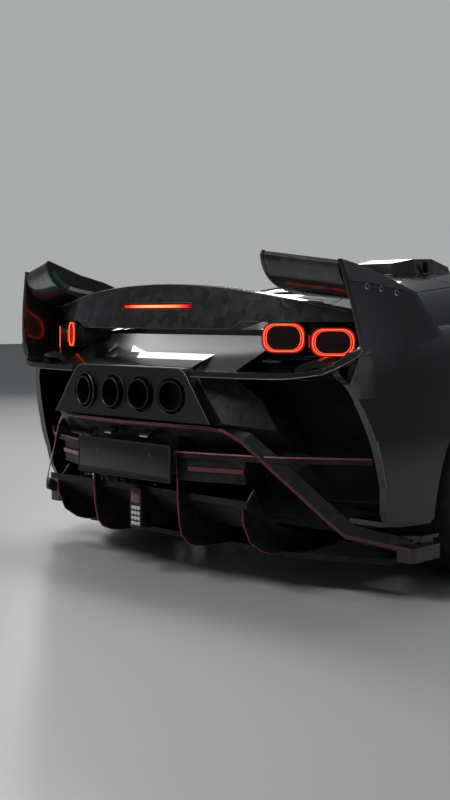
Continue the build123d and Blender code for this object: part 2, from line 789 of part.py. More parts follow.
# ---------------------------------------------------------------- roof scoop, front details
SCOOP = [(330, 75, 1214), (520, 118, 1247), (700, 150, 1240), (836, 130, 1218)]
with BuildPart() as scoop:
    add(ruled([[(-w, y, 1120), (w, y, 1120), (0.8 * w, y, z), (-0.8 * w, y, z)] for y, w, z in SCOOP]))
    add(box(-60, 60, 320, 500, 1196, 1222), mode=Mode.SUBTRACT)
    add(cabin, mode=Mode.SUBTRACT)
save(scoop.part, "roof_scoop")

splitter = prism(
    [(-960, -1720), (-960, -1960), (-860, -2240), (-560, -2345), (560, -2345), (860, -2240), (960, -1960), (960, -1720)],
    120,
    138,
)
save(splitter, "splitter")
headlamp = cut(
    hull,
    side_prism([(-2322, 500), (-2322, 436), (-2090.3, 566), (-2090.3, 690), (-2152, 690)], 585.3, 795),
    [hull_hollow],
)
save(both_sides(headlamp), "headlamps")

# ---------------------------------------------------------------- floor, cabin and engine
FLOOR = [(540, -2200), (500, -1720), (500, -880), (800, -805), (800, 930), (600, 958), (600, 1764.7), (560, 1764.7)]
floor_outline = FLOOR + [(-x, y) for x, y in reversed(FLOOR)]
pad_z = 130.0  # underside of the jacking pads
with BuildPart() as tub:
    add(prism(floor_outline, 138.5, 168))
    for s in (1, -1):
        add(box(min(s * 655, s * 800), max(s * 655, s * 800), -805, 575, 160, 330))
        add(box(min(s * 655, s * 800), max(s * 655, s * 800), -805, -700, 160, 640))
        add(box(min(s * 470, s * 500), max(s * 470, s * 500), -2200, -880, 160, 560))
        for y in (-740, 860):
            add(box(s * 720 - 50, s * 720 + 50, y - 35, y + 35, pad_z, 140))
    add(box(-655, 655, -880, -850, 160, 700))
    add(box(-655, 655, 560, 590, 160, 1000))
    add(box(-500, 500, -2230, -2200, 138.5, 500))
tub_body = cut(tub.part, None, [shell])
save(tub_body, "floor_tub")

wheel_plane = Plane(origin=(370, -430, 690), x_dir=(1, 0, 0), z_dir=(0, cos(radians(22)), sin(radians(22))))
column_r = 24.0
column_length = 120.0
with BuildPart() as dashboard:
    add(side_prism([(-849.7, 690), (-849.7, 640), (-700, 560), (-560, 560), (-500, 640), (-520, 730), (-640, 762), (-800, 740)], -640, 640))
    add(side_prism([(-700, 600), (-700, 168), (500, 168), (500, 380), (0, 400), (-480, 590)], -95, 95))
    with BuildSketch(wheel_plane):
        Circle(column_r + 0.06)
    extrude(amount=-column_length - 12, mode=Mode.SUBTRACT)
save(cut(dashboard.part, None, [roof, tub_body]), "dashboard")

CUSHION = [(-330, 168), (-330, 330), (-280, 350), (200, 300), (320, 240), (300, 168)]
BACK = [(190, 301), (420, 900), (470, 900), (500, 860), (318, 240)]
with BuildPart() as seats:
    add(side_prism(CUSHION, 140, 600))
    add(side_prism(BACK, 140, 600))
save(both_sides(seats.part), "seats")

with BuildPart() as engine:
    add(box(-270, 270, 640, 1210, 168, 690))
save(engine.part, "engine")

# ---------------------------------------------------------------- steering wheel
with BuildPart() as steering_wheel:
    with BuildSketch(wheel_plane):
        Circle(178)
        Circle(152, mode=Mode.SUBTRACT)
        with Locations((0, 0)):
            Rectangle(320, 40)
        Circle(52)
    extrude(amount=24)
    with BuildSketch(wheel_plane):
        Circle(column_r)
    extrude(amount=-column_length)
save(steering_wheel.part, "steering_wheel")


# ---------------------------------------------------------------- wheels
def tyre(r, w):
    """Left-hand tyre about the X axis, its tread centred on the origin."""
    half = [(w / 2 - 34, rim_r), (w / 2 - 6, rim_r + 8), (w / 2, rim_r + 38), (w / 2 - 8, r - 20), (w / 2 - 34, r - 3), (w / 2 - 80, r)]
    with BuildPart() as body:
        with BuildSketch(Plane.XY):
            with BuildLine():
                Polyline(*half, *[(-x, y) for x, y in reversed(half)], close=True)
            make_face()
        revolve(axis=Axis.X)
    return body.part


def rim(w):
    """Left-hand rim about the X axis with its disc, the face towards +X."""
    h = w / 2 - 36
    with BuildPart() as body:
        with BuildSketch(Plane.XY):
            with BuildLine():
                Polyline((-h, 246), (-h, 263), (h, 263), (h, 252), (h - 30, 244), (-h + 20, 236), close=True)
            make_face()
        revolve(axis=Axis.X)
        with BuildSketch(Plane.XY):
            with BuildLine():
                Polyline((h - 92, hub_r + 0.1), (h - 60, hub_r + 0.1), (h - 60, 0), (h - 34, 0), (h - 34, 40), (h - 52, 78), (h - 92, 78), close=True)
            make_face()
        revolve(axis=Axis.X)
        with BuildSketch(Plane.YZ.offset(h - 70)):
            with PolarLocations(155, 10):
                Polygon((-88, -22), (92, -13), (92, 13), (-88, 22), align=None)
        extrude(amount=46)
        with BuildSketch(Plane.YZ.offset(h - 150)):
            Circle(196)
            Circle(hub_r + 0.1, mode=Mode.SUBTRACT)
        extrude(amount=30)
        with BuildSketch(Plane.YZ.offset(h - 120)):
            Circle(76)
            Circle(hub_r + 0.1, mode=Mode.SUBTRACT)
        extrude(amount=30)
    return body.part


def placed(piece, x, y, z):
    """A wheel piece on the left side."""
    with BuildPart() as body:
        with Locations((x, y, z)):
            add(piece)
    return body.part


for name, r, w, y in (("front", front_tyre_r, front_tyre_w, front_axle_y), ("rear", rear_tyre_r, rear_tyre_w, rear_axle_y)):
    for kind, made in (("tyre", tyre(r, w)), ("rim", rim(w))):
        left = placed(made, tyre_x, y, r)
        save(left, f"{kind}_{name}_left")
        save(other_side(left), f"{kind}_{name}_right")


def carrier(y, z, w, inner):
    """Hub carrier, stub axle and caliper on the left side."""
    h = tyre_x + w / 2 - 36
    with BuildPart() as body:
        add(rod_x(y, z, hub_r, inner, h - 62))
        add(box(inner, h - 158, y - upright_y, y + upright_y, z - upright_z, z + upright_z))
        with BuildSketch(Plane.YZ.offset(h - 172)):
            with Locations((y, z)):
                Circle(228)
                Circle(140, mode=Mode.SUBTRACT)
            with Locations((y - 300, z)):
                Rectangle(460, 600, mode=Mode.SUBTRACT)
            with Locations((y, z + 350)):
                Rectangle(600, 500, mode=Mode.SUBTRACT)
            with Locations((y, z - 350)):
                Rectangle(600, 500, mode=Mode.SUBTRACT)
        extrude(amount=74)
        add(box(h - 186, h - 158, y + 40, y + 150, z - 60, z + 60))
        add(rod_x(y, z, 202, h - 156, h - 114), mode=Mode.SUBTRACT)
        add(rod_x(y, z, hub_r, inner, h - 62))
        if inner < steer_x:
            for end in (96, -131):
                add(rod_z(steer_x, y, king_r + 0.08, z + end, z + end + 35), mode=Mode.SUBTRACT)
    return body.part


save(carrier(front_axle_y, front_tyre_r, front_tyre_w, 725), "knuckle_left")
save(other_side(carrier(front_axle_y, front_tyre_r, front_tyre_w, 725)), "knuckle_right")
save(both_sides(carrier(rear_axle_y, rear_tyre_r, rear_tyre_w, rear_upright_x)), "rear_carriers")

def wishbones(x0, x1, y, z, out):
    """Upper and lower V of an axle's suspension on the left side, from the tub to the carrier."""
    with BuildPart() as body:
        for dy in (-150, 150):
            add(tube_between((x0 - 20, y + dy, z - 140), (x1, y, z - upright_z - out), 12))
            add(tube_between((x0 - 20, y + dy, z + 120), (x1, y, z + upright_z + out), 12))
        add(box(x0, x1 + 40, y - 200, y + 200, z - 200, z + 200), mode=Mode.INTERSECT)
    return body.part


front_arms = wishbones(500.3, steer_x, front_axle_y, front_tyre_r, 20)
kingpins = joined(
    rod_z(steer_x, front_axle_y, king_r, front_tyre_r + 100, front_tyre_r + 150),
    rod_z(steer_x, front_axle_y, king_r, front_tyre_r - 150, front_tyre_r - 100),
)
upright_seat = box(
    rear_upright_x - 0.3, 900,
    rear_axle_y - upright_y - 0.3, rear_axle_y + upright_y + 0.3,
    rear_tyre_r - upright_z - 0.3, rear_tyre_r + upright_z + 0.3,
)
rear_arms = joined(
    cut(wishbones(600, rear_upright_x + 22, rear_axle_y, rear_tyre_r, 12.3), None, [upright_seat]),
    box(580, 600, rear_axle_y - 175, rear_axle_y + 175, 168, 500),
)
save(both_sides(joined(front_arms, kingpins, rear_arms)), "suspension_arms")
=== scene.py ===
"""Visual model of the car: materials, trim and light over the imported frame. Metres, Z up, nose to -Y.
The car's own measures below are written in millimetres and turned into metres where a piece is made."""
import math
from functools import partial
from math import cos, pi, radians, sin

import bmesh
import bpy
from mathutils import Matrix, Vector
from mathutils.bvhtree import BVHTree


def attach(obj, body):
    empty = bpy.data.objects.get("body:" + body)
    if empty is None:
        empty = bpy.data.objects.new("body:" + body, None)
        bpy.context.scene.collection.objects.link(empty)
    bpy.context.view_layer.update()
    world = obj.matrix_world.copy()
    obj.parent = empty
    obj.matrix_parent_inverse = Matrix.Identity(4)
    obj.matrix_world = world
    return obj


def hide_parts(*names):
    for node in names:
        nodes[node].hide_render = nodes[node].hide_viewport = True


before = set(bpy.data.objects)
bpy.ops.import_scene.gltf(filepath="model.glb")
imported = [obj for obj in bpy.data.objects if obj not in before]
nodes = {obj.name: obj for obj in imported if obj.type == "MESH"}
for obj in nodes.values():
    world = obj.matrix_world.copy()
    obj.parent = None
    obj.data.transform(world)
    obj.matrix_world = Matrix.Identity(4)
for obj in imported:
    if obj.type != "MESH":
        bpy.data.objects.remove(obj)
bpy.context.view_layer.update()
SCENE = bpy.context.scene
FRONT_Y, REAR_Y = -1290, 1360  # axles
WHEEL_X = 842  # middle of each tyre
SEAT_X = 370  # middle of each seat and of the steering wheel
PLATE_Y = 2350  # face of the number plate
END_PLATE_X = 606  # inboard face of a winglet's end plate
FAR = 3000  # rays start this far out
DOWN, FORWARD, REARWARD, INWARD = (0, 0, -1), (0, -1, 0), (0, 1, 0), (-1, 0, 0)  # inward from the left

# ------------ materials


def material(name, base, rough, metal=0.0, coat=0.0, coat_rough=0.03, spec=0.5, alpha=1.0, emit=None,
        power=0.0):
    """Plain surface: its colour, roughness and what else it has."""
    m = bpy.data.materials.new(name)
    m.use_nodes = True
    b = m.node_tree.nodes["Principled BSDF"]
    sockets = {"Base Color": (*base, 1), "Roughness": rough, "Metallic": metal, "Coat Weight": coat,
               "Coat Roughness": coat_rough, "Specular IOR Level": spec, "Alpha": alpha}
    for socket, value in sockets.items():
        b.inputs[socket].default_value = value
    if emit:
        b.inputs["Emission Color"].default_value = (*emit, 1)
        b.inputs["Emission Strength"].default_value = power
    return m


def node(m, kind, **inputs):
    """New shader node in a material, with some inputs set."""
    n = m.node_tree.nodes.new("ShaderNode" + kind)
    for k, v in inputs.items():
        n.inputs[k.replace("_", " ")].default_value = v
    return n


def link(m, a, out, b, inp):
    m.node_tree.links.new(a.outputs[out], b.inputs[inp])


def ramp(m, source, out, stops, target, socket):
    """Colour ramp between a value and a socket."""
    r = node(m, "ValToRGB")
    e = r.color_ramp.elements
    while len(e) < len(stops):
        e.new(0.5)
    for spot, (at, colour) in zip(e, stops):
        spot.position, spot.color = at, (*colour, 1)
    link(m, source, out, r, "Fac")
    link(m, r, "Color", target, socket)


def forged(name, dark, light, scale, coat=1.0, rough=0.35):
    """Chopped carbon fibre: flakes that catch the light each its own way, under lacquer."""
    m = material(name, dark, rough, metal=0.35, coat=coat, coat_rough=0.04)
    b = m.node_tree.nodes["Principled BSDF"]
    tc = node(m, "TexCoord")
    warp = node(m, "TexNoise", Scale=scale * 0.6, Detail=3.0)
    mix = node(m, "VectorMath")
    mix.operation = "MULTIPLY_ADD"
    mix.inputs[1].default_value = (0.06, 0.06, 0.06)
    link(m, tc, "Object", warp, "Vector")
    link(m, warp, "Color", mix, 0)
    link(m, tc, "Object", mix, 2)
    v = node(m, "TexVoronoi", Scale=scale)
    link(m, mix, "Vector", v, "Vector")
    sep = node(m, "SeparateColor")
    link(m, v, "Color", sep, "Color")
    ramp(m, sep, "Red", [(0.25, dark), (1.0, light)], b, "Base Color")
    rr = node(m, "MapRange", To_Min=rough - 0.08, To_Max=rough + 0.15)
    link(m, sep, "Green", rr, "Value")
    link(m, rr, "Result", b, "Roughness")
    return m


def grain(m, scale, strength, distance, vary=None):
    """Fine bump on a material; vary is (scale, low, high) of an uneven roughness."""
    b = m.node_tree.nodes["Principled BSDF"]
    tc = node(m, "TexCoord")
    n = node(m, "TexNoise", Scale=scale, Detail=4.0)
    link(m, tc, "Object", n, "Vector")
    bump = node(m, "Bump", Strength=strength, Distance=distance)
    link(m, n, "Fac", bump, "Height")
    link(m, bump, "Normal", b, "Normal")
    if vary:
        w = node(m, "TexNoise", Scale=vary[0], Detail=3.0)
        link(m, tc, "Object", w, "Vector")
        rr = node(m, "MapRange", To_Min=vary[1], To_Max=vary[2])
        link(m, w, "Fac", rr, "Value")
        link(m, rr, "Result", b, "Roughness")
    return m


def lit_along(name, stops, power, axis, half):
    """Lit plastic whose colour runs along one axis from its middle out to half, in metres."""
    m = material(name, (0.02, 0.002, 0.002), 0.4, emit=(1, 0.1, 0.02), power=power)
    b = m.node_tree.nodes["Principled BSDF"]
    tc = node(m, "TexCoord")
    sep = node(m, "SeparateXYZ")
    link(m, tc, "Object", sep, "Vector")
    a = node(m, "Math")
    a.operation = "ABSOLUTE"
    link(m, sep, axis, a, 0)
    r = node(m, "MapRange", From_Max=half)
    link(m, a, "Value", r, "Value")
    ramp(m, r, "Result", stops, b, "Emission Color")
    return m


M = {}
FINE = (300, 0.05, 0.0002)


def finish(name, base, rough, bump=None, vary=None, **more):
    """One look of M. Bump is (scale, strength, distance); vary is grain's."""
    M[name] = material(name, base, rough, **more)
    if bump:
        grain(M[name], *bump, vary=vary)


finish("paint", (0.004, 0.0043, 0.005), 0.3, (90, 0.02, 0.0004), (7, 0.27, 0.34), coat=1.0, coat_rough=0.02)
finish("satin", (0.007, 0.007, 0.008), 0.42, (300, 0.1, 0.0003), (20, 0.38, 0.5))
finish("flange", (0.12, 0.123, 0.13), 0.45, FINE, (30, 0.3, 0.45), metal=0.2, coat=0.2)
# edge: a light grey look for thin beads laid along edges and creases: painted highlights
finish("edge", (0.16, 0.165, 0.175), 0.3, FINE, (30, 0.25, 0.4), metal=0.5, coat=0.6)
finish("seal", (0.003, 0.003, 0.003), 0.8, (400, 0.2, 0.0003), spec=0.25)
finish("glass", (0.006, 0.006, 0.008), 0.02, alpha=0.55, coat=1.0, spec=0.7)
finish("red_lit", (0.3, 0.004, 0.004), 0.3, emit=(0.7, 0.006, 0.008), power=0.7)
finish("glow", (0.3, 0.02, 0.01), 0.3, emit=(1.0, 0.13, 0.035), power=2.6)
finish("halo", (0.3, 0.006, 0.006), 0.3, emit=(0.62, 0.006, 0.008), power=0.9)
finish("red_dark", (0.12, 0.004, 0.006), 0.12, (500, 0.5, 0.0006), coat=1.0)
finish("line_red", (0.32, 0.01, 0.013), 0.35, FINE, (15, 0.28, 0.42), coat=0.5)
finish("lens", (0.02, 0.002, 0.003), 0.05, alpha=0.45, coat=1.0)
finish("lamp", (0.5, 0.52, 0.55), 0.03, alpha=0.22, coat=1.0, spec=0.8)
finish("plate", (0.006, 0.006, 0.007), 0.3, (500, 0.05, 0.0002), (12, 0.24, 0.36), coat=0.3, coat_rough=0.15)
finish("exhaust", (0.012, 0.012, 0.013), 0.38, (200, 0.1, 0.0004), (40, 0.3, 0.5), metal=0.8)
finish("alloy", (0.012, 0.012, 0.013), 0.3, (200, 0.04, 0.0003), (25, 0.25, 0.36), metal=0.6, coat=0.8)
finish("tyre", (0.012, 0.012, 0.012), 0.75, (260, 0.25, 0.0008), (18, 0.65, 0.85))
finish("metal", (0.12, 0.12, 0.13), 0.5, (160, 0.3, 0.0006), (30, 0.4, 0.6), metal=0.9)
finish("disc", (0.28, 0.28, 0.29), 0.3, (700, 0.15, 0.0002), (60, 0.2, 0.4), metal=1.0)
finish("bright", (0.6, 0.61, 0.63), 0.2, (200, 0.03, 0.0002), (30, 0.15, 0.25), metal=1.0)
finish("led", (0.5, 0.52, 0.55), 0.15, (800, 0.1, 0.0002), coat=1.0, emit=(0.9, 0.95, 1.0), power=0.08)
finish("drl", (0.6, 0.62, 0.65), 0.2, emit=(0.95, 0.97, 1.0), power=0.9)
finish("leather", (0.012, 0.012, 0.013), 0.55, (700, 0.4, 0.0006), (12, 0.45, 0.65), coat=0.15,
    coat_rough=0.4)
finish("stitch", (0.3, 0.012, 0.015), 0.8, (900, 0.4, 0.0003))
finish("trim", (0.014, 0.014, 0.015), 0.6, (600, 0.2, 0.0004), (10, 0.52, 0.7))
finish("screen", (0.002, 0.002, 0.003), 0.06, coat=1.0, emit=(0.05, 0.12, 0.2), power=0.15)
finish("stripe_green", (0.012, 0.16, 0.1), 0.35, FINE, coat=0.8)
finish("stripe_white", (0.6, 0.6, 0.6), 0.35, FINE, coat=0.8)
finish("stripe_red", (0.4, 0.01, 0.014), 0.35, FINE, coat=0.8)
finish("caliper", (0.25, 0.006, 0.008), 0.35, (200, 0.05, 0.0003), (20, 0.3, 0.42), coat=0.7)
M["carbon"] = forged("carbon", (0.012, 0.0122, 0.013), (0.034, 0.035, 0.038), 30)
M["carbon_dark"] = forged("carbon_dark", (0.006, 0.0062, 0.0066), (0.018, 0.019, 0.021), 30)
M["carbon_low"] = forged("carbon_low", (0.003, 0.0032, 0.0035), (0.014, 0.0145, 0.016), 30, coat=0.12,
    rough=0.5)
M["bar"] = lit_along("bar", [(0.0, (1.0, 0.26, 0.09)), (0.62, (1.0, 0.16, 0.05)), (0.86, (0.9, 0.02, 0.015)),
    (1.0, (0.3, 0.004, 0.005))], 2.4, "X", 0.184)

WEARERS = {
    "paint": "front_bumper front_fenders front_lid roof door_left door_right rear_quarters engine_cover"
             " tail_shelf tail_fins",
    "glass": "windscreen door_glass_left door_glass_right",
    "carbon": "mirror_left mirror_right winglets spoiler_band roof_scoop",
    "carbon_dark": "side_skirts bumper_frame splitter",
    "carbon_low": "tail_core diffuser diffuser_blades floor_tub",
    "satin": "exhaust_panel rain_lamp panel_hinges",
    "metal": "engine knuckle_left knuckle_right rear_carriers suspension_arms",
    "leather": "seats steering_wheel",
    "seal": "lamp_housings", "red_lit": "tail_lamps", "exhaust": "exhaust_tips", "red_dark": "reflectors",
    "plate": "plate_holder", "lamp": "headlamps", "trim": "dashboard",
}
LOOK = {part: look for look, parts in WEARERS.items() for part in parts.split()}
for name, obj in nodes.items():
    key = LOOK.get(name) or ("tyre" if name.startswith("tyre") else "alloy")
    obj.data.materials.clear()
    obj.data.materials.append(M[key])

# ------------ how pieces are made
TWIN = {"door_l": "door_r", "hub_l": "hub_r", "wheel_fl": "wheel_fr", "wheel_rl": "wheel_rr"}


def sides(name, body, both):
    """The piece itself, and its mirror image where it has one: name, sign of X, body."""
    if not both:
        return [(name, 1, body)]
    return [(name + "_l", 1, body), (name + "_r", -1, TWIN.get(body, body))]


def hang(o, body, mat):
    """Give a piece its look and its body."""
    o.data.materials.append(M[mat])
    SCENE.collection.objects.link(o)
    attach(o, body)
    return o


def solid(name, verts, faces, mat, body="chassis", both=False, bevel=0.0, smooth=0.6):
    """Mesh piece from points in millimetres, with its edges rounded by bevel."""
    made = []
    for n, s, b in sides(name, body, both):
        me = bpy.data.meshes.new(n)
        me.from_pydata([(s * x / 1000, y / 1000, z / 1000) for x, y, z in verts], [], faces)
        bm = bmesh.new()
        bm.from_mesh(me)
        bmesh.ops.recalc_face_normals(bm, faces=bm.faces)
        if bevel:
            sharp = [e for e in bm.edges if len(e.link_faces) == 2 and e.calc_face_angle(0) > 0.5]
            bmesh.ops.bevel(bm, geom=sharp, offset=bevel / 1000, segments=2, profile=0.5, affect="EDGES")
        bm.to_mesh(me)
        bm.free()
        me.shade_smooth()
        me.set_sharp_from_angle(angle=smooth)
        made.append(hang(bpy.data.objects.new(n, me), b, mat))
    return made[0]


def line(name, runs, r, mat, body="chassis", both=False, closed=False):
    """Thin round bead along one or more runs of points."""
    if not isinstance(runs[0][0], (list, tuple)):
        runs = [runs]
    for n, s, b in sides(name, body, both):
        c = bpy.data.curves.new(n, "CURVE")
        c.dimensions = "3D"
        c.bevel_depth = r / 1000
        c.bevel_resolution = 1
        c.use_fill_caps = True
        for run in runs:
            sp = c.splines.new("POLY")
            sp.points.add(len(run) - 1)
            for p, q in zip(sp.points, run):
                p.co = (s * q[0] / 1000, q[1] / 1000, q[2] / 1000, 1)
            sp.use_cyclic_u = closed
        hang(bpy.data.objects.new(n, c), b, mat)


# planes that an outline can be drawn on: across the car, along its side, in plan
def front(a, b, h):
    return (a, h, b)


def side(a, b, h):
    return (h, a, b)


def plan(a, b, h):
    return (a, b, h)


def slab(name, outline, to3d, low, high, mat, **more):
    """Prism over an outline between two heights on a plane."""
    n = len(outline)
    verts = [to3d(a, b, low) for a, b in outline] + [to3d(a, b, high) for a, b in outline]
    faces = [tuple(range(n)), tuple(range(2 * n - 1, n - 1, -1))]
    faces += [(i, (i + 1) % n, n + (i + 1) % n, n + i) for i in range(n)]
    return solid(name, verts, faces, mat, **more)


def grid_mesh(rows, closed=False, base=0):
    """Faces of a grid of equal rows of points; closed joins each row's ends."""
    m = len(rows[0])
    faces = []
    for i in range(len(rows) - 1):
        for j in range(m if closed else m - 1):
            k = (j + 1) % m
            faces.append((base + i * m + j, base + i * m + k, base + (i + 1) * m + k, base + (i + 1) * m + j))
    return [p for row in rows for p in row], faces


def turned(name, profile, origin, axis, mat, n=48, lobes=None, **more):
    """Lathe work: profile of (along, radius) about an axis through a point."""
    a = Vector(axis).normalized()
    u = a.orthogonal().normalized()
    v = a.cross(u)
    rows = []
    for t, r in profile:
        row = []
        for i in range(n):
            w = 2 * pi * i / n
            rr = r * (lobes(w) if lobes else 1)
            row.append(tuple(Vector(origin) + a * t + (u * cos(w) + v * sin(w)) * rr))
        rows.append(row)
    return solid(name, *grid_mesh(rows, closed=True), mat, **more)


def inside_run(p, q, shape):
    """The stretch of a line that lies inside a convex outline, or None."""
    t0, t1 = 0.0, 1.0
    area = sum(a[0] * b[1] - b[0] * a[1] for a, b in zip(shape, shape[1:] + shape[:1]))
    sign = 1 if area > 0 else -1
    d = (q[0] - p[0], q[1] - p[1])
    for a, b in zip(shape, shape[1:] + shape[:1]):
        nx, ny = -(b[1] - a[1]) * sign, (b[0] - a[0]) * sign
        num = nx * (p[0] - a[0]) + ny * (p[1] - a[1])
        den = nx * d[0] + ny * d[1]
        if abs(den) < 1e-9:
            if num < 0:
                return None
        elif den > 0:
            t0 = max(t0, -num / den)
        else:
            t1 = min(t1, -num / den)
    if t1 - t0 < 0.001:
        return None
    return [(p[0] + d[0] * t, p[1] + d[1] * t) for t in (t0, t1)]


def grille(name, shape, to3d, pitch, r, mat="satin", both=False):
    """Diamond mesh inside a convex outline, with its rim."""
    xs, zs = [p[0] for p in shape], [p[1] for p in shape]
    span = (max(xs) - min(xs)) + (max(zs) - min(zs))
    mid = (min(zs) + max(zs)) / 2
    runs = []
    for lean in (1, -1):
        k = min(xs) - span
        while k < max(xs) + span:
            rise = lean * span * 0.6
            run = inside_run((k - span, mid - rise), (k + span, mid + rise), shape)
            if run:
                runs.append([to3d(*run[0]), to3d(*run[1])])
            k += pitch
    line(name, runs, r, mat, both=both)
    line(name + "_rim", [to3d(*p) for p in shape], 2.2 * r, mat, both=both, closed=True)


TREES = {}


def tree(name):
    """Search tree of a node's faces, made once."""
    if name not in TREES:
        me = nodes[name].data
        TREES[name] = BVHTree.FromPolygons([v.co[:] for v in me.vertices],
            [p.vertices[:] for p in me.polygons])
    return TREES[name]


def reach(names, start, way, lift=1.0):
    """Where a ray from start first meets any of the named nodes, lifted off it."""
    best = None
    s, w = Vector(start) / 1000, Vector(way).normalized()
    for n in [names] if isinstance(names, str) else names:
        loc, _, _, dist = tree(n).ray_cast(s, w)
        if loc is not None and (best is None or dist < best[0]):
            best = (dist, loc)
    if best is None:
        return None
    return tuple(best[1] * 1000 - w * lift)


def hits(names, starts, way, lift):
    """Where rays from these starts meet the named nodes, without the ones that miss."""
    return [p for p in (reach(names, start, way, lift) for start in starts) if p]


def spread(a, b, n):
    """Evenly spaced points from a to b."""
    return [tuple(p + (q - p) * i / n for p, q in zip(a, b)) for i in range(n + 1)]


def along(points, n):
    """More points on straight runs between these."""
    out = []
    for a, b in zip(points, points[1:]):
        out += spread(a, b, n)[:-1]
    return out + [points[-1]]


def seam(name, names, points, way, r=1.6, n=8, mat="seal", lift=0.0, **more):
    """Line laid on the surface of some nodes along a path seen from way."""
    back = Vector(way).normalized() * FAR / 2
    found = hits(names, [Vector(p) - back for p in along(points, n)], way, lift)
    if len(found) > 1:
        line(name, found, r, mat, **more)


def sheet_solid(name, top, low, mat, **more):
    """Closed sheet between two equal grids of points."""
    v1, f1 = grid_mesh(top)
    v2, f2 = grid_mesh(low, base=len(v1))
    m, rows = len(top[0]), len(top)
    ring = list(range(m)) + [i * m + m - 1 for i in range(1, rows)]
    ring += [(rows - 1) * m + j for j in range(m - 2, -1, -1)] + [i * m for i in range(rows - 2, 0, -1)]
    walls = [(a, b, b + len(v1), a + len(v1)) for a, b in zip(ring, ring[1:] + ring[:1])]
    return solid(name, v1 + v2, f1 + [tuple(reversed(f)) for f in f2] + walls, mat, **more)


def patch(name, names, shape, to3d, way, mat, lift=1.5, step=10, **more):
    """Thin plate that follows the surface under a four-sided outline of (a, b)."""
    (a0, b0), (a1, b1), (a2, b2), (a3, b3) = shape
    nu = max(2, int(math.dist(shape[0], shape[1]) / step))
    nv = max(2, int(math.dist(shape[1], shape[2]) / step))
    w = Vector(way).normalized()
    top, low = [], []
    for i in range(nv + 1):
        v = i / nv
        rt, rl = [], []
        for j in range(nu + 1):
            u = j / nu
            a = (1 - v) * ((1 - u) * a0 + u * a1) + v * ((1 - u) * a3 + u * a2)
            b = (1 - v) * ((1 - u) * b0 + u * b1) + v * ((1 - u) * b3 + u * b2)
            start = tuple(Vector(to3d(a, b, 0)) - Vector(way) * FAR)
            hit = reach(names, start, way, 0)
            if hit is None:
                return None
            rt.append(tuple(Vector(hit) - w * lift))
            rl.append(tuple(Vector(hit) + w * 2))
        top.append(rt)
        low.append(rl)
    return sheet_solid(name, top, low, mat, **more)


def rounded(w, h, r, n=8):
    """Rounded rectangle about the origin."""
    out = []
    cx, cz = w / 2 - r, h / 2 - r
    for sx, sz, a0 in ((cx, cz, 0), (-cx, cz, 90), (-cx, -cz, 180), (cx, -cz, 270)):
        for i in range(n + 1):
            a = radians(a0 + 90 * i / n)
            out.append((sx + r * cos(a), sz + r * sin(a)))
    return out


# ------------ tail: pinstripes, and painted highlights along its edges
FRAME_EDGE = [(0, 2338, 588), (400, 2296, 589), (461, 2278, 580), (520, 2250, 546), (640, 2185, 428),
    (804, 2100, 272), (842, 2074, 236), (942, 1950, 198), (1000, 1922, 190)]
line("frame_pinstripe", [(x, y + 0.6, z - 6) for x, y, z in FRAME_EDGE] + [(1006, 1922, 172),
    (1012, 1904, 142)], 2.4, "line_red", both=True)
# light grey bead along the frame's top edge: painted highlight
line("frame_painted_highlight", [(x, y + 0.4, z - 0.6) for x, y, z in FRAME_EDGE], 1.3, "edge", both=True)
BLADE_EDGE = [(240, 2302.5, 470), (242, 2308, 483), (249, 2313, 488.5), (300, 2301, 489), (620, 2197, 489),
    (897, 2000, 489)]
line("blade_pinstripe", BLADE_EDGE, 2.6, "line_red", both=True)
# light grey bead along the blade's top edge: painted highlight
line("blade_painted_highlight", [(x, y + 1, z + 3) for x, y, z in BLADE_EDGE[2:]], 1.1, "edge", both=True)
FIN_IN = [(2301, 472), (2293, 400), (2291, 313), (2285, 240), (2272, 183), (2246, 154), (2206, 138),
    (2150, 129), (1900, 129)]
FIN_OUT = [(2192, 369), (2249, 306), (2248, 260), (2213, 188), (2152, 148), (2100, 133), (1900, 129)]
line("fin_pinstripe", [[(240, y, z) for y, z in FIN_IN], [(526, y, z) for y, z in FIN_OUT]], 2.4, "line_red",
    both=True)
PANEL = [(-440, 601), (-312, 776), (-290, 789), (-264, 792), (264, 792), (290, 789), (312, 776), (440, 601)]
# light grey bead round the exhaust panel's border: painted highlight
line("exhaust_panel_painted_highlight", [(x, 2325.6, z - 1) for x, z in PANEL], 1.8, "edge")
LIP = [(337, 2321, 784), (560, 2291, 784), (655, 2268, 784), (715, 2252, 786), (775, 2228, 791),
    (830, 2184, 801), (862, 2160, 814), (890, 2147, 828), (918, 2140, 842), (944, 2131, 857),
    (954, 2121, 872)]
LIP_DEPTH = [22, 22, 22, 22, 21, 20, 17, 15, 14, 12, 8]
# light grey beads along the shelf's lower and upper edges: painted highlights
line("shelf_painted_highlight", [(x, y, z - d + 2) for (x, y, z), d in zip(LIP, LIP_DEPTH)], 2.0, "edge", both=True)
line("shelf_upper_painted_highlight", [(x, y, z - 1) for x, y, z in LIP[:6]], 1.0, "edge", both=True)


BAND_TOP, BAND_RISE, BAND_HALF = 1101, 129, 890


def band_arc(x):
    """Height of the spoiler band's top edge."""
    r = (BAND_HALF**2 + BAND_RISE**2) / (2 * BAND_RISE)
    return BAND_TOP - r + math.sqrt(r * r - x * x)


def on_band(name, points, lift, r, **more):
    """Painted highlight along an edge of the band's rear face, through points of (x, z)."""
    line(name, hits("spoiler_band", [(x, FAR, z) for x, z in points], FORWARD, lift), r, "edge", **more)


# light grey beads along the band's top and lower edges: painted highlights
on_band("band_painted_highlight", [(x, band_arc(x) - 2.5) for x in range(-800, 801, 40)], -0.3, 1.6)
on_band("band_lower_painted_highlight", [(x, 932 if abs(x) < 440 else 960) for x in range(-520, 521, 40)], 0.3, 1.0)
FENDER_EDGE = [(2099, 742), (2072, 660), (2037, 560), (2014, 470), (1994, 400), (1982, 322), (1964, 274)]
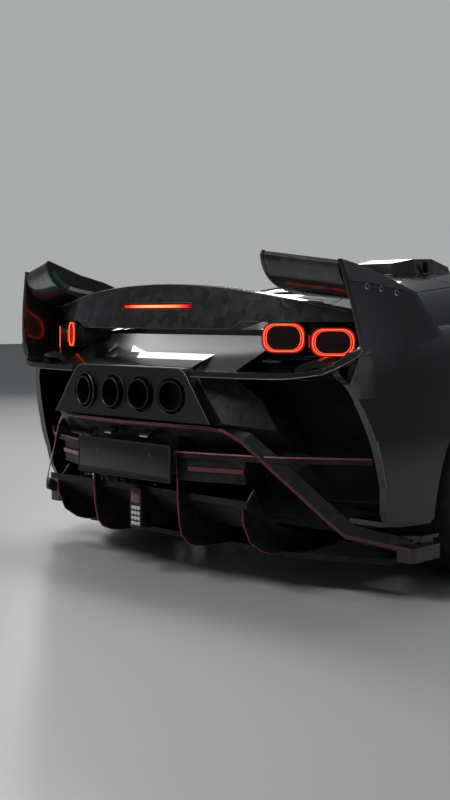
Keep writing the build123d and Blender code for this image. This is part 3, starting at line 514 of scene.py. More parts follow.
# light grey bead along each fender's rear edge: painted highlight
for tag, s in (("l", 1), ("r", -1)):
    edge = hits("rear_quarters", [(s * FAR / 2, y, z) for y, z in FENDER_EDGE], (-s, 0, 0), 0.2)
    line("fender_painted_highlight_" + tag, edge, 2.0, "edge")

# brake light in the band's slot
slab("brake_slot", [(-196, 1004), (196, 1004), (188, 1027), (-188, 1027)], front, 2160.4, 2161.6, "red_dark")
slab("brake_light", [(-182, 1010), (182, 1010), (182, 1020), (-182, 1020)], front, 2183.6, 2185.4, "bar",
    bevel=0.5)
# light grey ring round the slot: painted highlight
on_band("brake_slot_painted_highlight", [(-197, 1003), (0, 1003), (197, 1003), (189, 1028), (0, 1028), (-189, 1028)], 0.5,
    0.9, closed=True)

# ------------ tail lamps
# each ring's middle (x, y, z), its turn outward in degrees, width and height
RINGS = {"inner": (600, 2119, 902, 29, 150, 103), "outer": (768, 2051, 888, 37, 150, 96)}


def lamp_point(row, a, b, out):
    """Point in a ring's own plane: across, up, out of it."""
    x, y, z, turn, _, _ = row
    t = radians(turn)
    return (x - a * cos(t) + out * sin(t), y + a * sin(t) + out * cos(t), z + b)


def lamp_ring(name, row, outer, inner, low, high, mat):
    """Flat ring between two rounded outlines of (width, height, corner)."""
    loop = ((outer, low), (outer, high), (inner, high), (inner, low), (outer, low))
    rows = [[lamp_point(row, a, b, d) for a, b in rounded(*o)] for o, d in loop]
    solid(name, *grid_mesh(rows, closed=True), mat, both=True)


for tag, row in RINGS.items():
    w, h = row[4], row[5]
    on_ring = partial(lamp_point, row)
    pod = (w + 9, h + 9, 44)
    slab(f"lamp_{tag}_pod", rounded(*pod), on_ring, -150, -23, "satin", both=True, bevel=1.5)
    for part, outer, inner, low, high, mat in (
            ("sleeve", pod, (w + 4.2, h + 4.2, 40), -23.4, 1.6, "satin"),
            ("glow", (w - 6.5, h - 6, 41), (w - 11, h - 10, 39), 3.4, 5.2, "glow"),
            ("halo", (w - 1.5, h - 1.5, 44), (w - 29, h - 16, 35), 2.6, 4.0, "halo"),
            ("inner_glow", (w - 25, h - 16, 37.5), (w - 27.5, h - 17.5, 36.5), 3.6, 4.6, "glow"),
            ("rim", (w + 3.4, h + 3.4, 37), (w + 0.4, h + 0.4, 36), -10, 2.0, "red_dark")):
        lamp_ring(f"lamp_{tag}_{part}", row, outer, inner, low, high, mat)
    slab(f"lamp_{tag}_floor", rounded(w - 19, h - 19, 27), on_ring, -21.4, -18, "red_dark", both=True)
    slab(f"lamp_{tag}_block", rounded(w - 46, h - 44, 12), on_ring, -18, -11, "satin", both=True, bevel=2.5)
    ribs = [[on_ring(a, -h / 2 + 26, -10.6), on_ring(a, h / 2 - 26, -10.6)] for a in range(-44, 45, 11)]
    line(f"lamp_{tag}_ribs", ribs, 1.0, "satin", both=True)
    slab(f"lamp_{tag}_lens", rounded(w - 18.6, h - 18.6, 27.6), on_ring, -3.5, -2.0, "lens", both=True)
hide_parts("lamp_housings")
# a dull backing where the housing stood
slab("lamp_shroud", [(700, 2074), (848, 1964), (850, 1890), (690, 1930), (600, 1960), (618, 2056)], plan,
    852, 960, "seal", both=True)
line("lamp_link", [(684, 2079, 868), (684, 2079, 912)], 2.2, "red_lit", both=True)

# ------------ exhausts
# each tip's x, its turn outward in degrees and how far its lip stands out
TIPS = {"centre": (78, 4.0, 64), "outer": (244, 10.0, 53)}
BOLT_CIRCLE = 60.4
for tag, (x, turn, out) in TIPS.items():
    t = radians(turn)
    ax = (sin(t), cos(t), 0)
    y0 = 2278 + 51 * sin(t)
    o = (x + (y0 - 2312) * math.tan(t), y0, 691)
    # the glint and the bead are light grey rings: painted highlights on the lip and on the bezel
    for part, profile, mat, n in (
            ("lip", [(out - 2, 55.4), (out + 0.5, 54.8), (out + 1.1, 53.4), (out + 0.6, 50.0),
                (out - 3, 47.6)], "exhaust", 64),
            ("painted_glint", [(out + 0.6, 54.4), (out + 1.5, 53.9), (out + 0.8, 53.2)], "edge", 64),
            ("liner", [(out - 2, 47.7), (out - 10, 46.4), (6, 45.8), (4, 0.01)], "exhaust", 64),
            ("bezel", [(36, 67.6), (38, 68.6), (45.5, 68.4), (47.6, 66.8), (46, 65.2), (40, 64.6)], "satin",
                72),
            ("bead", [(44.6, 68.6), (46.4, 68.2), (46.6, 66.4)], "edge", 72)):
        turned(f"exhaust_{tag}_{part}", profile, o, ax, mat, n=n, both=True)
    bolts = []
    for k in (0.8, 2.35, 3.93, 5.5):
        rim = Vector((cos(t), -sin(t), 0)) * BOLT_CIRCLE * cos(k)
        rim += Vector((0, 0, 1)) * BOLT_CIRCLE * sin(k)
        bolts.append([tuple(Vector(o) + Vector(ax) * d + rim) for d in (39.5, 42)])
    line(f"exhaust_{tag}_bolts", bolts, 2.6, "metal", both=True)


# ------------ plate, plate lamps, rain lamp
def facing_rear(z0):
    """Plane across the car with its own origin at a height: right, up, back."""
    return lambda a, b, d: (a, d, b + z0)


def rear_frame(name, z0, loop, mat):
    """Frame facing the rear, through outlines of (width, height, corner) with the y of each."""
    rows = [[facing_rear(z0)(a, b, d) for a, b in rounded(*o)] for o, d in loop]
    solid(name, *grid_mesh(rows, closed=True), mat)


slab("plate_panel", rounded(506, 104, 5), facing_rear(456), PLATE_Y - 0.6, PLATE_Y + 0.6, "plate", bevel=0.4)
border, hole, back, face = (526, 130, 9), (517, 121, 6), PLATE_Y - 0.4, PLATE_Y + 0.9
rear_frame("plate_border", 448, ((border, back), (border, face), (hole, face), (hole, back), (border, back)),
    "satin")
slab("plate_foot_strip", rounded(500, 13, 3), facing_rear(391), PLATE_Y - 0.2, PLATE_Y + 0.9, "satin",
    bevel=0.3)
for tag, x in (("r", -152), ("l", 152)):
    turned(f"plate_bush_{tag}", [(-1.4, 5.6), (0.2, 6.2), (0.7, 5.8), (0.6, 3.4), (-6, 3.2)],
        (x, PLATE_Y + 0.4, 470), REARWARD, "metal", n=24)
BOX_FACES = [(0, 1, 2, 3), (4, 5, 6, 7), (0, 1, 5, 4), (1, 2, 6, 5), (2, 3, 7, 6), (3, 0, 4, 7)]
solid("plate_lamp_body", [(78, 2300, 560), (128, 2296, 560), (128, 2336, 545), (78, 2340, 545),
    (80, 2302, 538), (126, 2298, 538), (126, 2334, 533), (80, 2338, 533)], BOX_FACES, "satin", both=True,
    bevel=2)
solid("plate_lamp_lens", [(83, 2339, 543), (123, 2335.6, 543), (123, 2335.8, 534), (83, 2339, 534),
    (85, 2336, 541), (121, 2333, 541), (121, 2333, 536), (85, 2336, 536)], BOX_FACES, "bright", both=True,
    bevel=1)
rear_frame("rain_lamp_rim", 256, (((65.6, 157.6, 18), 2284), ((64, 156, 17.5), 2287), ((56, 148, 14), 2287),
    ((54, 146, 13), 2285.8)), "satin")
slab("rain_lamp_upper", rounded(48, 50, 9), facing_rear(302), 2285.8, 2287.2, "red_dark", bevel=0.5)
for r in range(4):
    for c in range(3):
        p = ((c - 1) * 17.0, 2286.0, 199.0 + r * 19.5)
        turned(f"rain_led_{r}_{c}", [(0, 7.6), (1.2, 7.2), (1.4, 6.0), (0.6, 5.6), (1.8, 4.6), (2.6, 2.6),
            (2.9, 0.01)], p, REARWARD, "led", n=20)

# ------------ fins and winglets
BOLT_AXIS = (cos(radians(4.5)), 0, sin(radians(4.5)))  # square to the leaning fin
FIN_TOP, FIN_TOP_X, FIN_LEAN = 1170, 888, 0.0787  # the flat part moves out by the lean for each unit down
FIN_TURN = 320  # length over which it turns outward
# the rear edge's (z, x, y) and the front edge's (z, y)
FIN_REAR = [(1171, 888, 2156), (1100, 907, 2149), (1032, 927, 2141), (966, 941, 2134), (900, 952, 2126),
    (850, 955, 2120), (600, 955, 2120)]
FIN_FRONT = [(1171, 2156), (1150, 2045), (1136, 1987), (1126, 1948), (1064, 1746), (916, 1600), (840, 1600)]


def at_height(table, z):
    """Values of a table whose first column falls, between its rows."""
    for hi, lo in zip(table, table[1:]):
        if z >= lo[0]:
            k = (hi[0] - z) / (hi[0] - lo[0])
            return [p + (q - p) * k for p, q in zip(hi[1:], lo[1:])]
    return list(table[-1][1:])


def fin_at(y, z, w=0.0):
    """Outer face of the fin: flat in front, turning outward to its rear edge. Pushed out by w."""
    rear_x, rear_y = at_height(FIN_REAR, z)
    flat = FIN_TOP_X + FIN_LEAN * (FIN_TOP - z)
    t = max(0.0, 1 - (rear_y - y) / FIN_TURN)
    return (flat + (rear_x - flat) * t * t + w, y, z)


def fin_grid(w):
    """Fin's face pushed out by w, from its top edge down, front edge to rear edge."""
    rows = []
    for z in (1169.5, 1162, 1150, 1136, 1126, 1096, 1064, 1030, 990, 950, 916, 885, 858):
        y0, y1 = at_height(FIN_FRONT, z)[0], at_height(FIN_REAR, z)[1]
        rows.append([fin_at(y1 + (y0 - y1) * (i / 14) ** 1.3, z, w) for i in range(15)])
    return rows


sheet_solid("tail_fin", fin_grid(0), fin_grid(-14), "paint", both=True, bevel=1.4, smooth=1.0)
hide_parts("tail_fins")
# the fender rises to meet the fin's foot
FLARE_TOP, FLARE_LOW, FLARE_LOW_X = 838, 700, 908  # it leaves the fin's face, and meets the fender
levels = [921, 881, 858, FLARE_TOP, 812, 785, 748, FLARE_LOW]
outer = []
for y in (1780, 1830, 1870, 1900, 1930, 1960, 1990, 2020, 2050, 2078):
    hull = {z: (reach("rear_quarters", (FAR / 2, y, z), INWARD, 0.6) or (0, y, z))[0] for z in levels}
    column = []
    for z in levels:
        x = fin_at(y, max(z, FLARE_TOP), 0.4)[0]
        if z < FLARE_TOP:
            x += (max(hull[FLARE_LOW], FLARE_LOW_X) - x) * (FLARE_TOP - z) / (FLARE_TOP - FLARE_LOW)
        column.append((max(x, hull[z]), y, z))
    outer.append(column)
outer.append([(949.4, 2128, 921), (953.4, 2123, 881), (954, 2121, 858), (943, 2129, 843), (936, 2126, 815),
    (920, 2117, 785), (890, 2101, 748), (908, 2083.5, 700)])
outer.append([(940, 2127, 921), (944, 2122, 881), (945, 2120, 858), (930, 2127, 843), (900, 2120, 815),
    (880, 2109, 785), (868, 2097, 748), (898, 2082, 700)])
inner = [[(x - 9, y - (4 if row is outer[-1] else 0), z) for x, y, z in row] for row in outer]
sheet_solid("fender_flare", outer, inner, "paint", both=True, smooth=1.0)
# the shelf's lip turns up into the fin's foot
low = [(830, 2184, 782), (862, 2160, 796), (890, 2147, 812), (918, 2140, 826), (944, 2131, 845),
    (954, 2121, 864)]
top = [(830, 2184, 801.6), (858, 2161, 818), (880, 2148, 838), (904, 2141, 857), (928, 2132, 864),
    (940, 2122, 880)]
fore = [76, 66, 64, 64, 60, 50]
above, below = [[[(x, y, z), (x, y - 8, z + k), (x, y - d, z + 2 * k)] for (x, y, z), d in zip(edge, fore)]
                for edge, k in ((top, 1), (low, -1))]
sheet_solid("lip_corner", above, below, "paint", both=True, bevel=1.2, smooth=1.0)

FLANGE_TOP = [(2150, 1167), (2030, 1144), (1880, 1102), (1762, 1068)]
FLANGE_LOW = [(2134, 1098), (2030, 1094), (1890, 1078), (1770, 1064)]
loop = ((FLANGE_TOP, 0.2), (FLANGE_TOP, 2.2), (FLANGE_LOW, 3.4), (FLANGE_LOW, 0.2))
v, f = grid_mesh([[fin_at(y, z, w) for y, z in edge] for edge, w in loop])
solid("fin_flange", v, f + [(0, 4, 8, 12), (3, 7, 11, 15)], "flange", both=True, bevel=0.6)
# light grey bead along the flange's lower edge: painted highlight
line("fin_flange_painted_highlight", [fin_at(y, z, 3.4) for y, z in FLANGE_LOW], 1.0, "edge", both=True)
for i, (y, z) in enumerate(((2036, 1080), (1952, 1073), (1864, 1060))):
    turned(f"fin_bolt_{i}", [(-0.5, 12.0), (2.2, 11.8), (3.6, 10.2), (3.4, 8.0)], fin_at(y, z), BOLT_AXIS,
        "bright", n=24, both=True)
    turned(f"fin_bolt_head_{i}", [(3.3, 7.8), (4.6, 6.0), (4.4, 3.0), (3.0, 2.4), (2.8, 0.01)], fin_at(y, z),
        BOLT_AXIS, "metal", n=24, both=True)
# light grey bead along the fin's top edge: painted highlight
line("fin_top_painted_highlight", [fin_at(y, z - 1.5, -1) for z, y in FIN_FRONT[:6]], 1.2, "edge", both=True)


def curl_strip(name, run):
    """Painted stripe on one end plate's inboard face along the winglet's curl, in the look of its name."""
    low, high = ([(END_PLATE_X - 0.7, y - dy, z + dz) for y, z in run] for dy, dz in ((2, 10), (10, 24)))
    low_back, high_back = ([(END_PLATE_X + 1.0, y, z) for _, y, z in edge] for edge in (low, high))
    solid(name, *grid_mesh([low, high, high_back, low_back, low]), name)


curl_strip("stripe_green", [(2136, 1079), (2168, 1091), (2205, 1122), (2222, 1146)])
curl_strip("stripe_white", [(2015, 1058), (2060, 1063.5), (2100, 1070), (2136, 1079)])
curl_strip("stripe_red", [(1900, 1051.5), (1960, 1054), (2015, 1058)])
WINGLET = [(x, 2236 - k * 89, 1203 - k * 38) for x, k in ((612, 0.0), (700, 0.37), (800, 0.79), (858, 1.03))]
# light grey beads along the winglet's front edge and the end plate's top edge: painted highlights
line("winglet_painted_highlight", WINGLET, 1.3, "edge", both=True)
END_PLATE_TOP = [(2238, 1206), (2074, 1150), (1943, 1120), (1790, 1068)]
line("end_plate_painted_highlight", [(END_PLATE_X, y, z) for y, z in END_PLATE_TOP], 1.3, "edge", both=True)


# ------------ recesses behind the wheels, grilles
def recess_net(a, b, d=0):
    """Wall behind a rear wheel, turning forward outboard of x 560."""
    return (a, 2052 - max(0, a - 560) * 0.42 + d, b)


def side_net(a, b):
    """Net in a side opening of the nose, turning back outboard of x 500."""
    return (a, -2196 + max(0, a - 500) * 0.1, b)


grille("tail_grille", [(470, 738), (860, 742), (925, 610), (890, 330), (700, 330), (560, 560)], recess_net,
    15, 0.8, both=True)
slab("tail_recess_back", [(455, 745), (872, 748), (935, 610), (900, 310), (690, 310), (545, 560)],
    recess_net, -26, -22, "seal", both=True)
grille("nose_grille", [(-306, 208), (306, 208), (258, 334), (-258, 334)], lambda a, b: (a, -2262, b), 24, 1.3)
grille("side_grille", [(426, 222), (694, 240), (724, 404), (520, 350)], side_net, 24, 1.3, both=True)
line("nose_bars", [[(-300, -2300, 250), (300, -2300, 250)], [(-280, -2300, 292), (280, -2300, 292)]], 3.2,
    "satin")


def liner(name, y0, z0, r, x0, x1, a0, a1):
    """Rippled liner of a wheel arch between two angles."""
    rows = []
    for i in range(49):
        a = radians(a0 + (a1 - a0) * i / 48)
        ripple = 1.5 * sin(i * 1.1)
        section = ((x0, r), (x0 + 30, r + ripple), (x1 - 30, r + ripple), (x1, r + 2))
        rows.append([(x, y0 + k * cos(a), z0 + k * sin(a)) for x, k in section])
    outer = [[(x, y0 + (y - y0) * (1 + 4 / r), z0 + (z - z0) * (1 + 4 / r)) for x, y, z in row]
        for row in rows]
    v1, f1 = grid_mesh(rows)
    v2, f2 = grid_mesh(outer, base=len(v1))
    solid(name, v1 + v2, f1 + f2, "seal", both=True)


liner("rear_arch_liner", REAR_Y, 350, 406, 640, 930, -12, 205)
liner("front_arch_liner", FRONT_Y, 343, 411, 540, 905, -20, 205)


# ------------ wheels
def tyre_mesh(name, r, w, node_names, y, z, body, n=216):
    """Road tyre with grooves, tread blocks and a stepped side wall, the left one and its mirror image."""
    wall = ((34, 264.5), (16, 266), (7, 272), (9, 276), (3, 286), (0.5, 300), (0.5, r - 45), (2, r - 40),
            (3, r - 32), (9, r - 20))
    half = [(w / 2 - back, radius) for back, radius in wall]
    across = []
    tread = w / 2 - 20
    grooves = (-0.62, -0.22, 0.22, 0.62)  # shares of the tread's half width, as ts are
    ts = [-1, -0.9, -0.78]
    for g in grooves:
        ts += [g - 0.055, g - 0.045, g + 0.045, g + 0.055]
        ts += [g + 0.2] if g < 0.6 else []
    ts += [0.78, 0.9, 1]
    for t in sorted(set(round(v, 3) for v in ts)):
        deep = any(abs(t - g) < 0.05 for g in grooves)
        crown = 10.5 * abs(t) ** 3.2
        across.append((t * tread, r - crown - (6.5 if deep else 0), deep, abs(t)))
    off_tread = 9
    profile = [(-a, b, False, off_tread) for a, b in half] + across
    profile += [(a, b, False, off_tread) for a, b in reversed(half)]
    rows = []
    for i in range(n):
        a = 2 * pi * i / n
        row = []
        for x, rr, deep, t in profile:
            cut = 0
            if not deep and t < off_tread:
                if t > 0.7 and i % 6 == 0:
                    cut = 4.5
                elif t <= 0.7 and t > 0.25 and i % 6 == 3:
                    cut = 4.0
            row.append((WHEEL_X + x, y + (rr - cut) * cos(a), z + (rr - cut) * sin(a)))
        rows.append(row)
    verts, faces = grid_mesh(rows, closed=True)
    m = len(profile)
    base = (n - 1) * m
    faces += [(base + j, base + (j + 1) % m, (j + 1) % m, j) for j in range(m)]
    solid(name, verts, faces, "tyre", body=body, both=True, smooth=0.5)
    for tag, node_name in zip("lr", node_names):
        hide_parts(node_name)


def six_lobes(a):
    """Radius of a six-lobed nut at an angle, as a share."""
    return 1.05 if cos(6 * a) > 0 else 0.95


def wheel_dress(tag, r, w, y, body):
    """Tyre of radius r and width w, and the trim of its wheel. The axle is at the tyre's radius."""
    z, h = r, w / 2 - 36
    tyre_mesh(f"tyre_{tag}", r, w, (f"tyre_{tag}_left", f"tyre_{tag}_right"), y, z, body)
    more = {"body": body, "both": True}
    o, ax = (WHEEL_X, y, z), (1, 0, 0)

    def on_face(x, radius, a, aside=0):
        """Point by the wheel's face, at a radius and an angle, moved aside along the rim."""
        c, s = cos(a), sin(a)
        return (WHEEL_X + h + x, y + radius * c - aside * s, z + radius * s + aside * c)

    turned(f"rim_lip_{tag}", [(h - 6, 250.5), (h - 1, 252.6), (h + 1.6, 256), (h + 1.4, 260), (h - 1, 263)],
        o, ax, "bright", n=96, **more)
    turned(f"rim_stripe_{tag}", [(h - 16, 246.6), (h - 15, 247.6), (h - 11, 249), (h - 10, 248.6)], o, ax,
        "line_red", n=96, **more)
    turned(f"centre_nut_{tag}", [(h - 34, 37), (h - 22, 38), (h - 15, 34), (h - 12, 26), (h - 14, 20),
        (h - 22, 18), (h - 22, 0.01)], o, ax, "line_red", n=72, lobes=six_lobes, **more)
    disc = -119  # face of the brake disc, from the wheel's face
    turned(f"brake_disc_{tag}", [(h + disc - 0.5, 88), (h + disc, 90), (h + disc, 193),
        (h + disc - 0.5, 195.5)], o, ax, "disc", n=96, **more)
    holes = [[on_face(x, 108 + 24 * (i % 4), 2 * pi * i / 48) for x in (disc, disc + 0.5)] for i in range(48)]
    line(f"disc_holes_{tag}", holes, 3.4, "seal", **more)
    spoke = ((78, 17.5), (244, 10))  # radius and distance aside at each end
    ribs = [[on_face(-22.5, radius, 2 * pi * i / 10, s * aside) for radius, aside in spoke]
            for i in range(10) for s in (-1, 1)]
    line(f"spoke_ribs_{tag}", ribs, 3.0, "alloy", **more)
    line(f"valve_{tag}", [on_face(x, radius, radians(18)) for x, radius in ((-20, 238), (4, 226))], 3.2,
        "seal", **more)


wheel_dress("front", 343, 255, FRONT_Y, "wheel_fl")
wheel_dress("rear", 350, 315, REAR_Y, "wheel_rl")

# ------------ doors, mirrors, windscreen, lids
# y and z on the flanks, along the left door
patch("door_handle", "door_left", [(230, 700), (400, 706), (398, 730), (232, 726)], side, INWARD, "carbon",
    lift=3.0, both=True, body="door_l")
seam("door_handle_gap", "door_left", [(222, 3, 694), (222, 3, 734)], INWARD, r=1.4, body="door_l", both=True)


def side_seam(name, names, points, **more):
    """Seam on both flanks through points of (y, z)."""
    seam(name, names, [(0, y, z) for y, z in points], INWARD, both=True, **more)


side_seam("window_trim", ["door_left", "door_glass_left"], [(-560, 880), (-130, 1062), (180, 1085),
    (420, 1060), (475, 885), (-200, 862), (-560, 880)], r=3.2, body="door_l", n=10)
# light grey bead along the door's crease: painted highlight
side_seam("door_crease_painted_highlight", "door_left", [(-780, 560), (-400, 500), (100, 470), (540, 520)], r=1.0, mat="edge",
    lift=0.2, body="door_l", n=12)
side_seam("sill_pinstripe", "side_skirts", [(-780, 242), (-300, 240), (300, 240), (930, 243)], r=2.4,
    mat="line_red", lift=0.6, n=12)
flap = [(1120 + 62 * cos(i / 12 * pi), 850 + 46 * sin(i / 12 * pi)) for i in range(25)]
side_seam("fuel_flap", "rear_quarters", flap, r=1.2, n=2)
side_seam("nose_seam", ["front_bumper", "front_fenders"], [(-1706, 640), (-1706, 470), (-1706, 300),
    (-1706, 200)], r=1.7)
angles = [2 * pi * i / 28 for i in range(28)]
glass_face = [(990 + 62 * cos(a), 936 + 40 * sin(a)) for a in angles]
slab("mirror_glass", glass_face, front, -519.6, -518.2, "bright", body="door_l", both=True)
line("mirror_rim", [(a, -518.6, b) for a, b in glass_face], 2.2, "satin", body="door_l", both=True,
    closed=True)
shell_low = hits("mirror_left", [(FAR / 2, y, z) for y, z in ((-545, 905), (-560, 900), (-575, 905))],
    INWARD, 0.4)
line("mirror_pinstripe", shell_low, 1.2, "line_red", body="door_l", both=True)

# side intake: slats, and the net behind them
for i in range(4):
    y = 760 + i * 62
    slab(f"intake_slat_{i}", [(y, 640), (y + 46, 640), (y + 58, 712), (y + 12, 712)], side, 905, 909,
        "carbon_dark", both=True, bevel=1)
grille("intake_net", [(716, 640), (760, 714), (1008, 700), (1008, 566)], lambda a, b: (898, a, b), 16, 0.9,
    both=True)


# windscreen: wiper and frit, then the front lid
def laid(name, names, points, lift, r, mat, **more):
    """Bead dropped from above onto some nodes, through points of (x, y)."""
    line(name, hits(names, [(x, y, FAR) for x, y in points], DOWN, lift), r, mat, **more)


def crease(name, node_name, points, n, body):
    """Painted highlight along a crease on a lid or cover, through points of (x, y)."""
    seam(name, node_name, [(x, y, 0) for x, y in points], DOWN, r=1.2, mat="edge", lift=0.2, n=n, body=body)


SCREEN = ["windscreen", "roof"]
laid("wiper_arm", SCREEN, ((60, -930), (200, -872), (330, -800), (440, -715)), 9, 5.0, "satin")
laid("wiper_blade", SCREEN, ((150, -900), (260, -842), (380, -768), (500, -668)), 3.5, 3.4, "seal")
frit = [(575, -905), (575, -500), (520, -235), (-520, -235), (-575, -500), (-575, -905), (575, -905)]
seam("windscreen_frit", SCREEN, [(x, y, 0) for x, y in frit], DOWN, r=4.0, n=12)
# painted highlights along the front lid's two creases
for tag, s in (("l", 1), ("r", -1)):
    crease(f"lid_crease_{tag}", "front_lid", [(s * 250, -2100), (s * 380, -1700), (s * 440, -1060)], 12,
        "lid")
patch("lid_vent", "front_lid", [(-210, -1420), (210, -1420), (250, -1290), (-250, -1290)], plan, DOWN,
    "satin", lift=1.2, step=12, body="lid")
for i in range(5):
    slat = [(x, -1400 + i * 25) for x in range(-210, 211, 30)]
    laid(f"lid_vent_slat_{i}", "front_lid", slat, 3.4, 3.0, "carbon_dark", body="lid")

# engine cover: a painted highlight along each louvre's edge, and two along its creases
for i, y in enumerate(range(1090, 1900, 115)):
    laid(f"louvre_edge_{i}", "engine_cover", [(x, y - 43) for x in range(-284, 285, 24)], 0.5, 1.3, "edge",
        body="cover")
for tag, s in (("", 1), ("_b", -1)):
    crease("cover_crease_painted_highlight" + tag, "engine_cover", [(s * 330, 880), (s * 330, 1500), (s * 315, 1950)], 14,
        "cover")

# roof scoop: mouth, side slots, tail
slab("scoop_mouth", [(-70, 1188), (70, 1188), (58, 1211), (-58, 1211)], front, 329.0, 333, "seal", bevel=1)
slab("scoop_slot", [(600, 1180), (650, 1180), (640, 1228), (606, 1228)], side, 132.0, 134.6, "seal",
    both=True)
slab("scoop_tail", [(-112, 1130), (112, 1130), (98, 1212), (-98, 1212)], front, 835, 838.5, "satin",
    bevel=1.5)

# ------------ headlamps
BEAM = (0.22, -0.97, 0.08)
for i, o in enumerate(((660, -2196, 548), (724, -2140, 586))):
    turned(f"headlamp_lens_{i}", [(-30, 26), (-26, 30), (2, 30), (8, 26), (14, 16), (16, 0.01)], o, BEAM,
        "lamp", n=32, both=True)
    turned(f"headlamp_cup_{i}", [(-44, 20), (-40, 33), (-4, 35), (4, 34.5), (5, 31), (-6, 30.4), (-24, 24),
        (-26, 0.01)], o, BEAM, "bright", n=32, both=True)
solid("headlamp_tray", [(600, -2180, 470), (775, -2090, 520), (780, -2075, 690), (610, -2105, 650),
    (600, -2110, 470), (775, -2060, 520), (780, -2060, 690), (610, -2080, 650)],
    BOX_FACES[:1] + [(7, 6, 5, 4)] + BOX_FACES[2:], "satin", both=True, bevel=2)
DAYLIGHT = ((606, 486), (660, 506), (720, 536), (772, 572), (776, 640))
line("headlamp_daylight", hits("headlamps", [(x, -FAR, z) for x, z in DAYLIGHT], REARWARD, -6), 3.0, "drl",
    both=True)
half = [(558, -2342), (858, -2238), (955, -1962)]
line("splitter_pinstripe", [(-x, y, 139) for x, y in half[::-1]] + [(x, y, 139) for x, y in half], 2.2,
    "line_red")


# ------------ cabin
def pad(name, rings, level=2):
    """Firm upholstered pad lofted through closed rings, subdivided."""
    verts, faces = grid_mesh(rings, closed=True)
    m = len(rings[0])
    faces += [tuple(range(m - 1, -1, -1)), tuple(range((len(rings) - 1) * m, len(rings) * m))]
    solid(name, verts, faces, "leather", both=True, smooth=3.0)
    for tag in "lr":
        o = bpy.data.objects[f"{name}_{tag}"]
        sub = o.modifiers.new("soft", "SUBSURF")
        sub.levels = sub.render_levels = level


def across_ring(y, z, dy, dz, w, t, bolster):
    """Section of a seat across the car: side bolsters stand above the middle."""
    half = [(1, 0.2), (0.98, bolster * 0.8), (0.8, bolster), (0.62, bolster * 0.35), (0.3, 0.04)]
    crown = [(-k, u) for k, u in half] + [(0, 0)] + half[::-1]
    top = [(SEAT_X + w * k, y + dy * u, z + dz * u) for k, u in crown]
    low = [(SEAT_X + w * k, y - dy * t, z - dz * t) for k in (0.95, 0.4, -0.4, -0.95)]
    return top + low


pad("seat_cushion", [across_ring(y, z, 0, 1, w, t, b) for y, z, w, t, b in (
    (-326, 285, 190, 90, 20), (-318, 322, 208, 140, 30), (-280, 343, 215, 165, 42),
    (-150, 330, 222, 155, 58), (0, 315, 226, 140, 62), (120, 304, 226, 130, 60), (192, 300, 220, 125, 40))])
pad("seat_back", [across_ring(y, z, -0.93, 0.36, w, t, b) for y, z, w, t, b in (
    (214, 318, 205, 70, 20), (244, 400, 218, 85, 55), (290, 520, 226, 85, 68), (335, 636, 222, 82, 60),
    (372, 730, 200, 76, 40), (402, 806, 168, 66, 18), (424, 868, 140, 56, 8), (436, 894, 120, 44, 2))])
for k in range(4):
    y = -230 + 105 * k
    z = 345 - 0.105 * (y + 280)
    line(f"cushion_seam_{k}", [(SEAT_X + x, y, z) for x in (-120, -60, 0, 60, 120)], 1.6, "stitch", both=True)
for k in range(5):
    y, z = 236 + 37.5 * k, 390 + 87.5 * k
    line(f"back_seam_{k}", [(SEAT_X + x, y, z) for x in (-118, -60, 0, 60, 118)], 1.6, "stitch", both=True)
shell = [(-340, 169), (-340, 200), (-250, 230), (150, 225), (262, 262), (462, 880), (498, 856), (330, 240),
    (300, 169)]
for tag, low, high in (("l", 160, 580), ("r", -580, -160)):
    slab(f"seat_shell_{tag}", shell, side, low, high, "carbon", bevel=6)
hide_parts("seats")
line("belt", [(480, 470, 880), (470, 452, 892), (455, 405, 840), (450, 330, 660), (446, 250, 440)], 5.0,
    "stitch", both=True)


def on_dash(a, b, d):
    """Leaning face of the driver's screen."""
    return (a + SEAT_X, -512 - 0.066 * (b + 46) + d, b + 742)


slab("dash_screen", rounded(230, 92, 10), on_dash, 0, 6, "screen", bevel=1.5)
slab("centre_screen", rounded(190, 120, 8), lambda a, b, d: (a, -500 - 0.15 * b + d, b + 660), -2, 6,
    "screen", bevel=1.5)
for i, x in enumerate((-560, -230, 170, 560)):
    turned(f"dash_vent_{i}", [(-6, 34), (2, 36), (5, 33), (3, 29), (-4, 27), (-5, 0.01)], (x, -512, 700),
        (0, 0.96, 0.28), "satin", n=32)
line("dash_stitch", [(x, -556, 563) for x in range(-620, 621, 40)], 1.4, "stitch")
line("console_edges", [[(x, -478, 592), (x, 0, 402), (x, 498, 382)] for x in (90, -90)], 2.0, "stitch")
patch("console_top", "dashboard", [(-70, -420), (70, -420), (70, 60), (-70, 60)], plan, DOWN, "carbon",
    lift=2.0, step=16)
for i in range(3):
    turned(f"console_dial_{i}", [(0, 17), (12, 16), (14, 14), (14.4, 0.01)],
        (0, -330 + 70 * i, 532 - 27.5 * i), (0, 0.37, 0.93), "metal", n=40,
        lobes=lambda a: 1 + 0.02 * cos(20 * a))

# steering wheel dress: grip, boss and spokes on the turning body
RAKE_C, RAKE_S = cos(radians(22)), sin(radians(22))


def on_wheel(a, b, d):
    """Point in the steering wheel's plane: right, up the wheel, towards the driver."""
    return (SEAT_X + a, -430 - b * RAKE_S + d * RAKE_C, 690 + b * RAKE_C + d * RAKE_S)


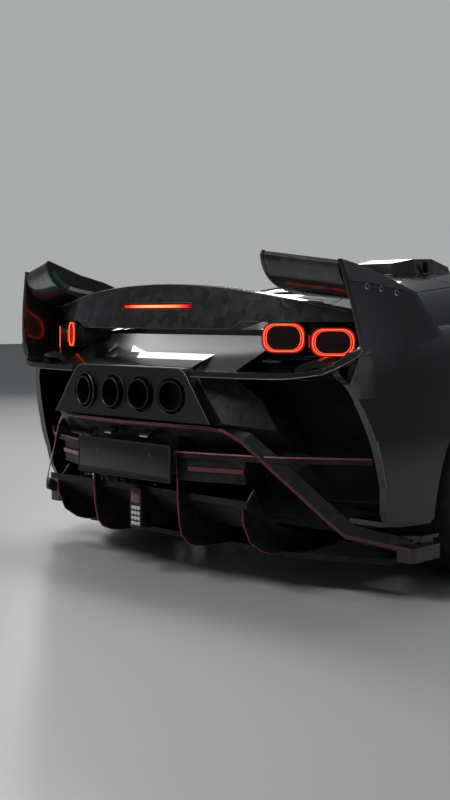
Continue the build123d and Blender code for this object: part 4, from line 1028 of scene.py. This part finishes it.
GRIP_R, FLAT, STITCH_R = 165.0, 0.86, 150.6  # flat-bottomed below this share of the radius
turns = [2 * pi * i / 96 for i in range(96)]
grip = []
for w in turns:
    r = GRIP_R if sin(w) > -FLAT else GRIP_R * FLAT / -sin(w)
    grip.append(on_wheel(r * cos(w), r * sin(w), 12))
line("steering_grip", grip, 14.2, "leather", body="steering", closed=True)
stitches = [on_wheel(STITCH_R * cos(w), STITCH_R * sin(w), 14) for w in turns]
line("steering_stitch", stitches, 1.0, "stitch", body="steering", closed=True)
slab("steering_boss", rounded(108, 84, 26), on_wheel, 22, 34, "trim", body="steering", bevel=5)
for nm, a in (("a", 92), ("b", -92)):
    slab("steering_spoke_" + nm, [(a - 42, -14), (a + 42, -12), (a + 42, 12), (a - 42, 14)], on_wheel, 23,
        28, "carbon", body="steering", bevel=2)

# engine dress
slab("engine_plenum", [(700, 690), (720, 742), (1150, 742), (1180, 690)], side, -120, 120, "carbon", bevel=14)
for tag, low, high in (("r", -250, -150), ("l", 150, 250)):
    slab(f"cam_cover_{tag}", [(700, 688), (706, 720), (1170, 720), (1176, 688)], side, low, high, "caliper",
        bevel=8)
line("intake_runners", [[(s * 118, y, 728), (s * 150, y, 738), (s * 176, y, 712)] for s in (-1, 1)
    for y in range(760, 1160, 90)], 17, "metal")
line("cover_bolts", [[(x, y, 719), (x, y, 725)] for x in (-240, -160, 160, 240) for y in range(740, 1160,
    80)], 6, "metal")
line("engine_brace", [[(-455, 900, 800), (0, 1010, 792), (455, 900, 800)],
    [(-440, 1180, 770), (0, 1010, 792), (440, 1180, 770)]], 14, "carbon")


# ------------ stage and light
def stage_plane(name, corners, mat):
    me = bpy.data.meshes.new(name)
    me.from_pydata(corners, [], [(0, 1, 2, 3)])
    o = bpy.data.objects.new(name, me)
    SCENE.collection.objects.link(o)
    me.materials.append(mat)


HALF_FLOOR, BELOW = 30, -0.001  # metres
corners = [(x * HALF_FLOOR, y * HALF_FLOOR, BELOW) for x, y in ((-1, -1), (1, -1), (1, 1), (-1, 1))]
stage_plane("stage_floor", corners, material("floor", (0.66, 0.66, 0.655), 0.28, spec=0.4))

world = bpy.data.worlds.new("studio")
SCENE.world = world
world.use_nodes = True
wt = world.node_tree
bg = wt.nodes["Background"]
bg.inputs["Color"].default_value = (0.5, 0.52, 0.55, 1)
bg.inputs["Strength"].default_value = 0.2
seen = wt.nodes.new("ShaderNodeBackground")
seen.inputs["Color"].default_value = (0.4, 0.405, 0.41, 1)
path = wt.nodes.new("ShaderNodeLightPath")
mixer = wt.nodes.new("ShaderNodeMixShader")
wt.links.new(path.outputs["Is Camera Ray"], mixer.inputs["Fac"])
wt.links.new(bg.outputs["Background"], mixer.inputs[1])
wt.links.new(seen.outputs["Background"], mixer.inputs[2])
wt.links.new(mixer.outputs["Shader"], wt.nodes["World Output"].inputs["Surface"])


def area(name, loc, aim, size, size_y, power):
    """Soft panel lamp, in metres and watts."""
    d = bpy.data.lights.new(name, "AREA")
    d.shape = "RECTANGLE"
    d.size, d.size_y, d.energy = size, size_y, power
    o = bpy.data.objects.new(name, d)
    o.location = loc
    o.rotation_euler = (Vector(aim) - Vector(loc)).to_track_quat("-Z", "Y").to_euler()
    SCENE.collection.objects.link(o)


area("ceiling_a", (2.6, 0.5, 5.0), (1.0, 0.8, 0), 1.2, 7, 170)
area("ceiling_b", (0.3, 5.6, 4.6), (0, 1.6, 0.4), 3.0, 1.2, 110)
area("far_panel", (6.4, -4.4, 4.0), (0, 1.6, 0.7), 4.6, 2.2, 120)

# ------------ camera
cam_data = bpy.data.cameras.new("camera")
cam_data.lens = 54.0
cam_data.sensor_width = 36.0
cam_data.shift_y = -85.5 / 800  # the photo's horizon lies this share of its height above its middle
cam = bpy.data.objects.new("camera", cam_data)
cam.location = (-3.43, 5.24, 0.984)
cam.rotation_euler = Vector((1, -1, 0)).normalized().to_track_quat("-Z", "Y").to_euler()
SCENE.collection.objects.link(cam)
SCENE.camera = cam
SCENE.view_settings.view_transform = "Standard"
